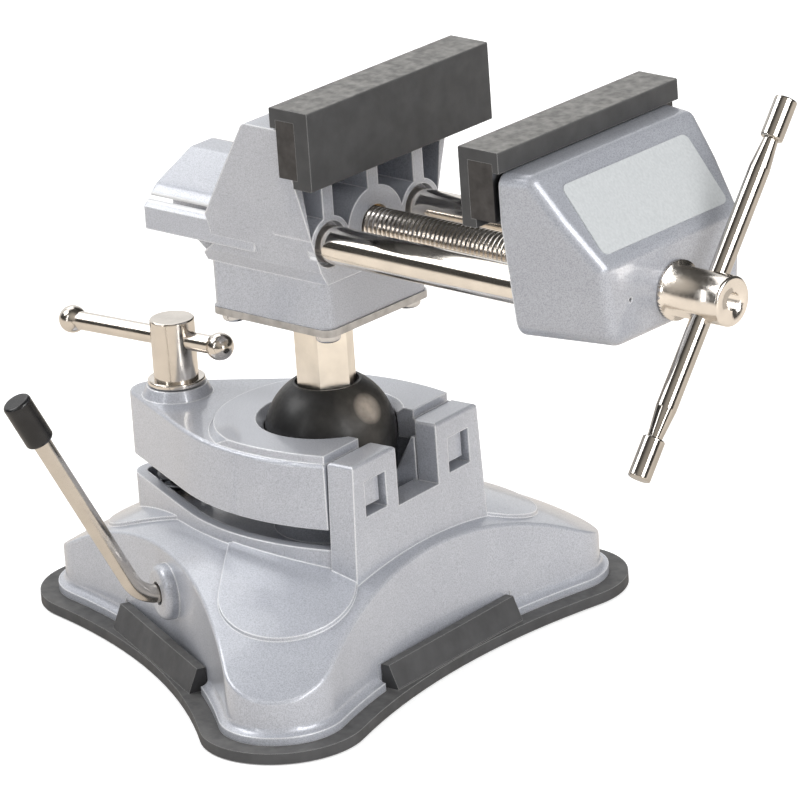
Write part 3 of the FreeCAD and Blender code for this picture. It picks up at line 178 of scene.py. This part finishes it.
def agreement(tree, vector, other):
    # The dot product of a vector and another one, or a fixed direction
    node = tree.nodes.new("ShaderNodeVectorMath")
    node.operation = "DOT_PRODUCT"
    tree.links.new(vector, node.inputs[0])
    if isinstance(other, (tuple, Vector)):
        node.inputs[1].default_value = other
    else:
        tree.links.new(other, node.inputs[1])
    return node.outputs["Value"]


def rounded(tree, radius):
    rounding = tree.nodes.new("ShaderNodeBevel")
    rounding.samples = ROUNDING_SAMPLES
    rounding.inputs["Radius"].default_value = radius
    return rounding.outputs["Normal"]


def relief(tree, shader, height, depth, strength, soften=0.0):
    bump = tree.nodes.new("ShaderNodeBump")
    bump.inputs["Strength"].default_value = strength
    bump.inputs["Distance"].default_value = depth
    tree.links.new(height, bump.inputs["Height"])
    if soften:
        tree.links.new(rounded(tree, soften), bump.inputs["Normal"])
    tree.links.new(bump.outputs["Normal"], shader.inputs["Normal"])


def edges(tree, width):
    # 0 on a face and 1 on its sharp edges
    facing = tree.nodes.new("ShaderNodeNewGeometry")
    likeness = agreement(tree, rounded(tree, width), facing.outputs["Normal"])
    return remap(tree, likeness, EDGE_BEGINS, EDGE_FULL)


def dress(material, *nodes):
    for node in nodes:
        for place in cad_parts[node].material_slots:
            place.material = material


def silver_enamel(name, painted_light_share):
    enamel, tree, shader = coated(name, Metallic=0.3, Coat_Weight=0.8, Coat_Roughness=0.1)
    # The share darkens this copy of the enamel as painted shade.
    dark = shaded(ENAMEL_DARK, painted_light_share)
    light = shaded(ENAMEL_LIGHT, painted_light_share)
    metal = cloud(tree, FLECK, detail=1.0)
    fleck = ramp(tree, metal, [(FLECK_DARK_SHARE, dark), (FLECK_LIGHT_SHARE, light)])
    spray = mottle(tree, cloud(tree, SPRAY_PATCH, detail=3.0), ENAMEL_THICK, WHITE)
    painted = blend(tree, "MULTIPLY", 1.0, fleck, spray)
    # A pale painted highlight along the sharp edges, standing in for light caught there.
    enamel_with_edge_highlight = blend(tree, "MIX", edges(tree, EDGE_HIGHLIGHT_WIDTH), painted, ENAMEL_EDGE_HIGHLIGHT)
    tree.links.new(enamel_with_edge_highlight, shader.inputs["Base Color"])
    roughen(tree, shader, cloud(tree, DULL_PATCH, detail=2.0), ENAMEL_ROUGH)
    relief(tree, shader, cloud(tree, PEEL, detail=2.0), PEEL_DEPTH, PEEL_STRENGTH, CAST_EDGE)
    return enamel


dress(silver_enamel("base_enamel", BASE_PAINTED_LIGHT_SHARE), "base_casting")


# Suction pad
# One moulding of dark grey rubber under the casting, with three thick release tabs. The surface is
# matt and faintly mottled; faces that point up are painted paler, as painted top light mixed with dust,
# in patches, and the edges carry a painted highlight.
PAD_GREY = (0.066, 0.066, 0.068)
PAD_TOP_LIGHT_AND_DUST = (0.115, 0.114, 0.112)
RUBBER_EDGE_HIGHLIGHT = (0.24, 0.238, 0.235)
RUBBER_DARK_SHARE = 0.8
RUBBER_LOW = 0.35
RUBBER_HIGH = 0.65
RUBBER_ROUGH = (0.5, 0.68)
RUBBER_PATCH = 0.006
RUBBER_DULL_PATCH = 0.004
RUBBER_GRAIN = 0.0004
RUBBER_GRAIN_DEPTH = 0.00003
RUBBER_GRAIN_STRENGTH = 0.7
RUBBER_EDGE = 0.0003
TOP_LIGHT_AND_DUST_PATCH = 0.0022
TOP_LIGHT_AND_DUST_LEAST_SHARE = 0.35
TOP_LIGHT_AND_DUST_BEGINS = 0.55
TOP_LIGHT_AND_DUST_FULL = 0.95


def soft_rubber(name, tone, top_light_and_dust):
    rubber, tree, shader = coated(name, Metallic=0.0, Specular_IOR_Level=0.35)
    dark = shaded(tone, RUBBER_DARK_SHARE)
    patches = cloud(tree, RUBBER_PATCH, detail=4.0)
    moulded = ramp(tree, patches, [(RUBBER_LOW, dark), (RUBBER_HIGH, tone)])
    # Faces that point up are painted paler: painted top light mixed with dust, broken into patches.
    facing = tree.nodes.new("ShaderNodeNewGeometry")
    split = tree.nodes.new("ShaderNodeSeparateXYZ")
    tree.links.new(facing.outputs["Normal"], split.inputs["Vector"])
    amount = tree.nodes.new("ShaderNodeMath")
    amount.operation = "MULTIPLY"
    tree.links.new(remap(tree, split.outputs["Z"], TOP_LIGHT_AND_DUST_BEGINS, TOP_LIGHT_AND_DUST_FULL), amount.inputs[0])
    top_light_and_dust_patches = cloud(tree, TOP_LIGHT_AND_DUST_PATCH, detail=4.0)
    tree.links.new(remap(tree, top_light_and_dust_patches, NOISE_LOW, NOISE_HIGH, TOP_LIGHT_AND_DUST_LEAST_SHARE), amount.inputs[1])
    top_lit_and_dusted = blend(tree, "MIX", amount.outputs["Value"], moulded, top_light_and_dust)
    # A paler painted highlight along the sharp edges.
    rubber_with_edge_highlight = blend(tree, "MIX", edges(tree, RUBBER_EDGE), top_lit_and_dusted, RUBBER_EDGE_HIGHLIGHT)
    tree.links.new(rubber_with_edge_highlight, shader.inputs["Base Color"])
    roughen(tree, shader, cloud(tree, RUBBER_DULL_PATCH, detail=3.0), RUBBER_ROUGH)
    grain = cloud(tree, RUBBER_GRAIN, detail=3.0)
    relief(tree, shader, grain, RUBBER_GRAIN_DEPTH, RUBBER_GRAIN_STRENGTH, RUBBER_EDGE)
    return rubber


dress(soft_rubber("pad_rubber", PAD_GREY, PAD_TOP_LIGHT_AND_DUST), "suction_pad")


# Pad stud and lift cam
# A zinc-plated stud is moulded into the pad, and the lever's eccentric lifts it. Both are
# turned or milled steel, satin and slightly greasy, and sit out of sight under the casting.
ZINC = (0.5, 0.505, 0.52)
ZINC_STAIN = 0.003
ZINC_STAIN_SHARE = 0.7
ZINC_ROUGH = (0.28, 0.46)
TOOL_MARK = 0.0008
TOOL_MARK_DEPTH = 0.00002
TOOL_MARK_STRENGTH = 0.5


def zinc_steel(name, colour=ZINC, stretch=WHITE):
    steel, tree, shader = coated(name, Metallic=1.0)
    stain = mottle(tree, cloud(tree, ZINC_STAIN, detail=4.0), shaded(colour, ZINC_STAIN_SHARE), colour)
    tree.links.new(stain, shader.inputs["Base Color"])
    marks = cloud(tree, TOOL_MARK, detail=3.0, stretch=stretch)
    roughen(tree, shader, marks, ZINC_ROUGH)
    relief(tree, shader, marks, TOOL_MARK_DEPTH, TOOL_MARK_STRENGTH)
    return steel


dress(zinc_steel("stud_steel"), "pad_stud", "lift_cam")


# Suction lever
# A 5 mm round bar, bent once where it leaves the casting and nickel plated. It shows long
# reflections and only faint marks from the bending. A dull steel clip holds its axle inside.
LEVER_NICKEL = (0.70, 0.655, 0.60)
CLIP_GREY = (0.32, 0.32, 0.33)
NICKEL = (0.80, 0.745, 0.68)
NICKEL_ROUGH = (0.13, 0.24)
NICKEL_STAIN = 0.007
NICKEL_STAIN_SHARE = 0.86
RUB_MARK = 0.0009
RUB_MARK_DEPTH = 0.000015
RUB_MARK_STRENGTH = 0.35


def bright_nickel(name, colour=NICKEL, stretch=WHITE, rough=NICKEL_ROUGH):
    nickel, tree, shader = coated(name, Metallic=1.0)
    warm = mottle(tree, cloud(tree, NICKEL_STAIN, detail=3.0), shaded(colour, NICKEL_STAIN_SHARE), colour)
    tree.links.new(warm, shader.inputs["Base Color"])
    marks = cloud(tree, RUB_MARK, detail=3.0, stretch=stretch)
    roughen(tree, shader, marks, rough)
    relief(tree, shader, marks, RUB_MARK_DEPTH, RUB_MARK_STRENGTH)
    return nickel


dress(bright_nickel("lever_nickel", LEVER_NICKEL), "suction_lever")
dress(zinc_steel("clip_steel", CLIP_GREY), "lever_clip")


# Lever cap
# A black vinyl cap is dipped over the lever's end: smooth, a little glossy, with a faint
# unevenness from the dipping.
VINYL_DARK = (0.006, 0.006, 0.007)
VINYL_LIGHT = (0.014, 0.014, 0.015)
VINYL_PATCH = 0.004
DIP_WAVE = 0.0014
DIP_DEPTH = 0.00005
DIP_STRENGTH = 0.5

vinyl, tree, shader = coated("cap_vinyl", Roughness=0.24, Specular_IOR_Level=0.5)
skin = mottle(tree, cloud(tree, VINYL_PATCH, detail=2.0), VINYL_DARK, VINYL_LIGHT)
tree.links.new(skin, shader.inputs["Base Color"])
relief(tree, shader, cloud(tree, DIP_WAVE, detail=2.0), DIP_DEPTH, DIP_STRENGTH)
dress(vinyl, "lever_cap")


# Clamp plate
# The cast lid that presses on the ball, in the same silver enamel as the base.
# Its two hooks sit in the windows of the base's end wall.
# The plate's copy keeps the enamel's full tone; the other castings' copies are darkened as painted shade.
PLATE_PAINTED_LIGHT_SHARE = 1.0
dress(silver_enamel("plate_enamel", PLATE_PAINTED_LIGHT_SHARE), "clamp_plate")


# Clamp spring
# A coil spring of blued wire lifts the plate when the screw is loosened.
# Only its turns in the gap between plate and socket can be seen.
SPRING_BLUE = (0.16, 0.165, 0.18)
dress(zinc_steel("spring_steel", SPRING_BLUE), "clamp_spring")


# Clamp screw, washer and bar
# Turned from bar and nickel plated, with a sliding cross bar that ends in two pressed-on balls.
# The bar has fine streaks along its length.
BAR_STREAKS = (0.1, 1.0, 1.0)
dress(bright_nickel("clamp_nickel"), "clamp_screw", "clamp_washer")
dress(bright_nickel("bar_nickel", stretch=BAR_STREAKS), "clamp_bar", "clamp_bar_knobs")


# Ball
# A hardened steel ball, blackened, with a flat under the post. One round patch on the side
# towards the end wall is a painted highlight, pale and warm in the middle and fading to black.
BALL_BLACK = (0.014, 0.014, 0.015)
BALL_HIGHLIGHT_EDGE = (0.03, 0.029, 0.028)
BALL_HIGHLIGHT_GLOW = (0.085, 0.079, 0.072)
BALL_HIGHLIGHT_CORE = (0.70, 0.61, 0.52)
BALL_DULL = (0.62, 0.62, 0.62)
BALL_ROUGH = (0.4, 0.54)
BALL_BLOTCH = 0.003
BALL_DULL_PATCH = 0.0011
BALL_PITS = 0.0007
BALL_PIT_DEPTH = 0.00002
BALL_PIT_STRENGTH = 0.5
# A painted highlight: black far from the patch, then brown, then pale and warm at its middle.
BALL_PAINTED_HIGHLIGHT = ((0.3, BALL_BLACK), (0.84, BALL_HIGHLIGHT_EDGE), (0.965, BALL_HIGHLIGHT_GLOW), (1.0, BALL_HIGHLIGHT_CORE))
PAINTED_HIGHLIGHT_FACES = Vector((0.83, -0.02, 0.56)).normalized()

blackened, tree, shader = coated("ball_black", Metallic=0.35, Coat_Weight=0.2, Coat_Roughness=0.25)
ball_low, ball_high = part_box("ball")
ball_radius = 0.5 * (ball_high[0] - ball_low[0])
ball_middle = (0.5 * (ball_low[0] + ball_high[0]),
               0.5 * (ball_low[1] + ball_high[1]),
               ball_low[2] + ball_radius)
place = tree.nodes.new("ShaderNodeTexCoord")
from_middle = tree.nodes.new("ShaderNodeVectorMath")
from_middle.operation = "SUBTRACT"
from_middle.inputs[1].default_value = ball_middle
tree.links.new(place.outputs["Object"], from_middle.inputs[0])
# How far each point lies towards the painted highlight's middle.
towards_highlight = agreement(tree, from_middle.outputs["Vector"], PAINTED_HIGHLIGHT_FACES / ball_radius)
ball_with_highlight = ramp(tree, towards_highlight, BALL_PAINTED_HIGHLIGHT)
blotch = mottle(tree, cloud(tree, BALL_BLOTCH, detail=5.0), BALL_DULL, WHITE)
tree.links.new(blend(tree, "MULTIPLY", 1.0, ball_with_highlight, blotch), shader.inputs["Base Color"])
roughen(tree, shader, cloud(tree, BALL_DULL_PATCH, detail=4.0), BALL_ROUGH)
relief(tree, shader, cloud(tree, BALL_PITS, detail=3.0), BALL_PIT_DEPTH, BALL_PIT_STRENGTH)
dress(blackened, "ball")


# Post and its nut
# Hexagon bar joins the ball to the head. It is nickel plated over drawn steel, so fine lines
# run up its flats. The nut that holds it in the head is plain zinc plate.
POST_NICKEL = (1.0, 0.94, 0.85)
POST_STREAKS = (1.0, 1.0, 0.06)
POST_ROUGH = (0.3, 0.42)
dress(bright_nickel("post_nickel", POST_NICKEL, POST_STREAKS, POST_ROUGH), "hex_post")
dress(zinc_steel("nut_steel"), "post_nut")


# Bottom plate and its screws
# A sheet steel plate closes the head from below, held by four pan-head screws with cross slots.
# The zinc plate has a pale dull shine.
BOTTOM_ZINC = (0.62, 0.62, 0.63)
SCREW_ZINC = (0.72, 0.72, 0.73)
dress(zinc_steel("bottom_zinc", BOTTOM_ZINC), "bottom_plate")
dress(bright_nickel("small_screw_zinc", SCREW_ZINC), "plate_screws")


# Fixed jaw
# Casting with the anvil behind, cored out under the jaw plate, in silver enamel. A bronze nut
# for the lead screw is pressed into its middle boss. The screw's thrust washer in the moving jaw
# is bronze too.
# The fixed jaw's copy of the enamel is darkened a little as painted shade.
FIXED_PAINTED_LIGHT_SHARE = 0.95
BRONZE_DARK = (0.33, 0.21, 0.10)
BRONZE_LIGHT = (0.55, 0.39, 0.20)
BRONZE_ROUGH = (0.26, 0.42)
BRONZE_STAIN = 0.003
BRONZE_MARK = 0.001

dress(silver_enamel("fixed_enamel", FIXED_PAINTED_LIGHT_SHARE), "fixed_jaw")
bronze, tree, shader = coated("nut_bronze", Metallic=1.0)
patina = mottle(tree, cloud(tree, BRONZE_STAIN, detail=3.0), BRONZE_DARK, BRONZE_LIGHT)
tree.links.new(patina, shader.inputs["Base Color"])
roughen(tree, shader, cloud(tree, BRONZE_MARK, detail=3.0), BRONZE_ROUGH)
dress(bronze, "screw_nut", "thrust_washer")


# Jaw plates and their screws
# Two blackened steel plates are screwed to the castings with countersunk screws.
# Their ground edges show between the rubber and the castings.
PLATE_BLACK = (0.10, 0.10, 0.105)
PLATE_STREAKS = (1.0, 0.1, 1.0)
PLATE_SCREW_BLACK = (0.14, 0.14, 0.14)
dress(zinc_steel("plate_black", PLATE_BLACK, PLATE_STREAKS), "fixed_jaw_plate", "moving_jaw_plate")
dress(zinc_steel("plate_screw_black", PLATE_SCREW_BLACK), "fixed_plate_screws", "moving_plate_screws")


# Jaw covers
# Moulded rubber pads are hooked over both plates. Their fronts are finely grained, their tops
# painted paler as painted top light mixed with dust, in patches, and their edges given a painted
# highlight.
COVER_GREY = (0.055, 0.055, 0.056)
COVER_TOP_LIGHT_AND_DUST = (0.235, 0.229, 0.217)
dress(soft_rubber("cover_rubber", COVER_GREY, COVER_TOP_LIGHT_AND_DUST), "fixed_jaw_cover", "moving_jaw_cover")


# Moving jaw and its label plate
# A casting with soft edges and a sloped top, in silver enamel. A blank foil plate of satin
# aluminium is stuck on the slope.
# The moving jaw's copy of the enamel is darkened much more, as painted shade on the same paint.
MOVING_PAINTED_LIGHT_SHARE = 0.82
FOIL_DARK = (0.50, 0.52, 0.53)
FOIL_LIGHT = (0.57, 0.59, 0.60)
FOIL_ROUGH = (0.3, 0.4)
FOIL_BRUSH = 0.0006
FOIL_STREAKS = (0.08, 1.0, 1.0)
FOIL_DULL_PATCH = 0.002

dress(silver_enamel("moving_enamel", MOVING_PAINTED_LIGHT_SHARE), "moving_jaw")
foil, tree, shader = coated("label_foil", Metallic=0.2, Coat_Weight=0.3, Coat_Roughness=0.2)
brush_marks = cloud(tree, FOIL_BRUSH, detail=2.0, stretch=FOIL_STREAKS)
tree.links.new(mottle(tree, brush_marks, FOIL_DARK, FOIL_LIGHT), shader.inputs["Base Color"])
roughen(tree, shader, cloud(tree, FOIL_DULL_PATCH, detail=3.0), FOIL_ROUGH)
dress(foil, "label_plate")


# Guide rods
# Two ground and polished 10 mm rods pressed into the moving jaw. Long reflections with faint
# streaks along the bar.
ROD_NICKEL = (0.92, 0.87, 0.80)
ROD_STREAKS = (0.04, 1.0, 1.0)
ROD_ROUGH = (0.09, 0.2)
dress(bright_nickel("rod_nickel", ROD_NICKEL, ROD_STREAKS, ROD_ROUGH), "guide_rods")


# Lead screw
# Turned from one bar: a rolled M10 thread up to the jaw's collar, and a round head with a cross
# hole. The head keeps the solid's own shape and the thread is spun as a helix. A clip in the
# same finish holds the screw in the moving jaw.
THREAD_OUTER = 0.005
THREAD_ROOT = 0.0042
THREAD_PITCH = 0.0015
THREAD_STEPS = 24
SPARE_TURNS = 2
LEAD_HEIGHT = 0.12
THREAD_END = 0.092
THREAD_SHARES = ((0.0, 0.0), (0.08, 0.0), (0.42, 1.0), (0.58, 1.0), (0.92, 0.0), (1.0, 0.0))
WELD = 0.000001
SHARP_ANGLE = math.radians(30)
LEAD_NICKEL = (0.94, 0.89, 0.83)
LEAD_ROUGH = (0.14, 0.26)
ALONG_SCREW = (1.0, 0.0, 0.0)
BACK_ALONG_SCREW = (-1.0, 0.0, 0.0)


def sliced(form, along, side):
    everything = form.verts[:] + form.edges[:] + form.faces[:]
    cut = bmesh.ops.bisect_plane(form, geom=everything, plane_co=(along, 0.0, 0.0), plane_no=side,
                                 clear_outer=True)
    rim = [part for part in cut["geom_cut"] if isinstance(part, bmesh.types.BMEdge)]
    bmesh.ops.contextual_create(form, geom=rim)


def new_piece(name, form, body, material):
    bmesh.ops.recalc_face_normals(form, faces=form.faces)
    mesh = bpy.data.meshes.new(name)
    form.to_mesh(mesh)
    form.free()
    mesh.materials.append(material)
    for face in mesh.polygons:
        face.use_smooth = True
    mesh.set_sharp_from_angle(angle=SHARP_ANGLE)
    piece = bpy.data.objects.new(name, mesh)
    bpy.context.scene.collection.objects.link(piece)
    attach(piece, body)
    return piece


lead_nickel = bright_nickel("lead_nickel", LEAD_NICKEL, WHITE, LEAD_ROUGH)
dress(lead_nickel, "screw_clip")

thread_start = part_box("lead_screw")[0][0]
turns = math.ceil((THREAD_END - thread_start) / THREAD_PITCH) + SPARE_TURNS
form = bmesh.new()
points = []
for along, depth in THREAD_SHARES:
    radius = THREAD_ROOT + depth * (THREAD_OUTER - THREAD_ROOT)
    start = thread_start + (along - 1.0) * THREAD_PITCH
    points.append(form.verts.new((start, 0.0, LEAD_HEIGHT + radius)))
ridges = [form.edges.new(pair) for pair in zip(points, points[1:])]
bmesh.ops.spin(form, geom=points + ridges, cent=(thread_start, 0.0, LEAD_HEIGHT), axis=ALONG_SCREW,
               dvec=(THREAD_PITCH / THREAD_STEPS, 0.0, 0.0), angle=2 * math.pi * turns,
               steps=THREAD_STEPS * turns, use_merge=False)
bmesh.ops.remove_doubles(form, verts=form.verts, dist=WELD)
sliced(form, thread_start, BACK_ALONG_SCREW)
sliced(form, THREAD_END, ALONG_SCREW)
thread = new_piece("lead_thread", form, "screw_turn", lead_nickel)

form = bmesh.new()
form.from_mesh(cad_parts["lead_screw"].data)
bmesh.ops.remove_doubles(form, verts=form.verts, dist=WELD)
sliced(form, THREAD_END, BACK_ALONG_SCREW)
head = new_piece("lead_head", form, "screw_turn", lead_nickel)
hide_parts("lead_screw")
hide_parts("lead_screw")


# T-bar
# The sliding handle is a slim bar, turned thinner towards both ends, with a plain cap
# pressed on each. Its nickel is smoother than the lead screw's, and its colour is painted darker as
# painted shade in its reflections.
# The T-bar's nickel colour is darkened as painted shade, for darker reflections along it.
TBAR_NICKEL_WITH_PAINTED_SHADE = (0.56, 0.53, 0.49)
TBAR_ROUGH = (0.06, 0.14)
dress(bright_nickel("tbar_nickel", TBAR_NICKEL_WITH_PAINTED_SHADE, rough=TBAR_ROUGH), "tbar_rod", "tbar_caps")


# Floor, backdrop and lights
# A pale table top in a white room. Polished parts see a darker, brownish table, a white wall
# behind the tool to the left, a pale patch above the camera and a dim room elsewhere, which
# gives them their dark and warm bands.
FLOOR_HALF = 6.0
FLOOR_DROP = 0.0003
FLOOR_GREY = (0.86, 0.86, 0.86, 1.0)
FLOOR_MIRRORED = (0.66, 0.6, 0.53)
FLOOR_GLOW = 0.35
ROOM_LIGHT = 0.66
ROOM_TONES = ((0.6, (0.05, 0.048, 0.045)), (0.88, (0.09, 0.086, 0.08)),
              (0.94, (0.3, 0.28, 0.25)), (0.99, (0.5, 0.46, 0.41)))
PALE_PATCH_LIES = (0.55, -0.55, 0.63)
BACK_WALL_LIES = (-0.825, 0.520, 0.222)
BACK_WALL_BEGINS = 0.66
BACK_WALL_FULL = 0.92
BACK_WALL_WHITE = (0.95, 0.95, 0.95)
TOOL_MIDDLE = (0.02, 0.0, 0.08)

floor_mesh = bpy.data.meshes.new("floor")
floor_form = bmesh.new()
bmesh.ops.create_grid(floor_form, x_segments=1, y_segments=1, size=FLOOR_HALF)
floor_form.to_mesh(floor_mesh)
floor_form.free()
floor = bpy.data.objects.new("floor", floor_mesh)
bpy.context.scene.collection.objects.link(floor)
floor.location.z = -FLOOR_DROP
paper, tree, shader = coated("paper", Roughness=0.9)
shader.inputs["Emission Color"].default_value = (*WHITE, 1.0)
seen = tree.nodes.new("ShaderNodeLightPath")
table = tree.nodes.new("ShaderNodeRGB")
table.outputs["Color"].default_value = FLOOR_GREY
table_top = blend(tree, "MIX", seen.outputs["Is Glossy Ray"], table.outputs["Color"], FLOOR_MIRRORED)
tree.links.new(table_top, shader.inputs["Base Color"])
glow = tree.nodes.new("ShaderNodeMath")
glow.operation = "MULTIPLY"
glow.inputs[1].default_value = FLOOR_GLOW
tree.links.new(seen.outputs["Is Camera Ray"], glow.inputs[0])
tree.links.new(glow.outputs["Value"], shader.inputs["Emission Strength"])
floor_mesh.materials.append(paper)


def either(tree, test, usual, other):
    choice = tree.nodes.new("ShaderNodeMixShader")
    tree.links.new(test, choice.inputs["Fac"])
    tree.links.new(usual, choice.inputs[1])
    tree.links.new(other, choice.inputs[2])
    return choice.outputs["Shader"]


room = bpy.data.worlds.new("room")
bpy.context.scene.world = room
room.use_nodes = True
room.cycles.sampling_method = "NONE"
tree = room.node_tree
plain = tree.nodes["Background"]
plain.inputs["Color"].default_value = (*WHITE, 1.0)
plain.inputs["Strength"].default_value = ROOM_LIGHT
backdrop = tree.nodes.new("ShaderNodeBackground")
backdrop.inputs["Color"].default_value = (*WHITE, 1.0)
mirrored = tree.nodes.new("ShaderNodeBackground")
outward = tree.nodes.new("ShaderNodeTexCoord")
towards_patch = agreement(tree, outward.outputs["Generated"], PALE_PATCH_LIES)
room_tone = ramp(tree, remap(tree, towards_patch, -1.0, 1.0), ROOM_TONES)
towards_back = agreement(tree, outward.outputs["Generated"], BACK_WALL_LIES)
back_wall = remap(tree, towards_back, BACK_WALL_BEGINS, BACK_WALL_FULL, shape="SMOOTHSTEP")
lit_room = blend(tree, "MIX", back_wall, room_tone, BACK_WALL_WHITE)
tree.links.new(lit_room, mirrored.inputs["Color"])
seen = tree.nodes.new("ShaderNodeLightPath")
unseen_room = either(tree, seen.outputs["Is Glossy Ray"],
                     plain.outputs["Background"], mirrored.outputs["Background"])
whole_room = either(tree, seen.outputs["Is Camera Ray"], unseen_room, backdrop.outputs["Background"])
tree.links.new(whole_room, tree.nodes["World Output"].inputs["Surface"])


def soft_box(name, place, width, height, power):
    light = bpy.data.lights.new(name, "AREA")
    light.shape = "RECTANGLE"
    light.size = width
    light.size_y = height
    light.energy = power
    lamp = bpy.data.objects.new(name, light)
    bpy.context.scene.collection.objects.link(lamp)
    lamp.location = place
    lamp.rotation_euler = (Vector(place) - Vector(TOOL_MIDDLE)).to_track_quat("Z", "Y").to_euler()


soft_box("box_behind", (-0.65, 0.32, 1.05), width=0.7, height=0.7, power=2.4)
soft_box("box_right", (1.15, 0.05, 0.75), width=0.7, height=0.7, power=9.0)
soft_box("box_left", (-0.9, -0.55, 1.15), width=0.8, height=0.8, power=10.0)
soft_box("strip_front", (-0.2, -1.15, 0.55), width=0.12, height=1.0, power=1.8)
soft_box("strip_right", (1.15, -0.38, 0.55), width=0.12, height=1.0, power=4.0)

bpy.context.scene.view_settings.view_transform = "Standard"
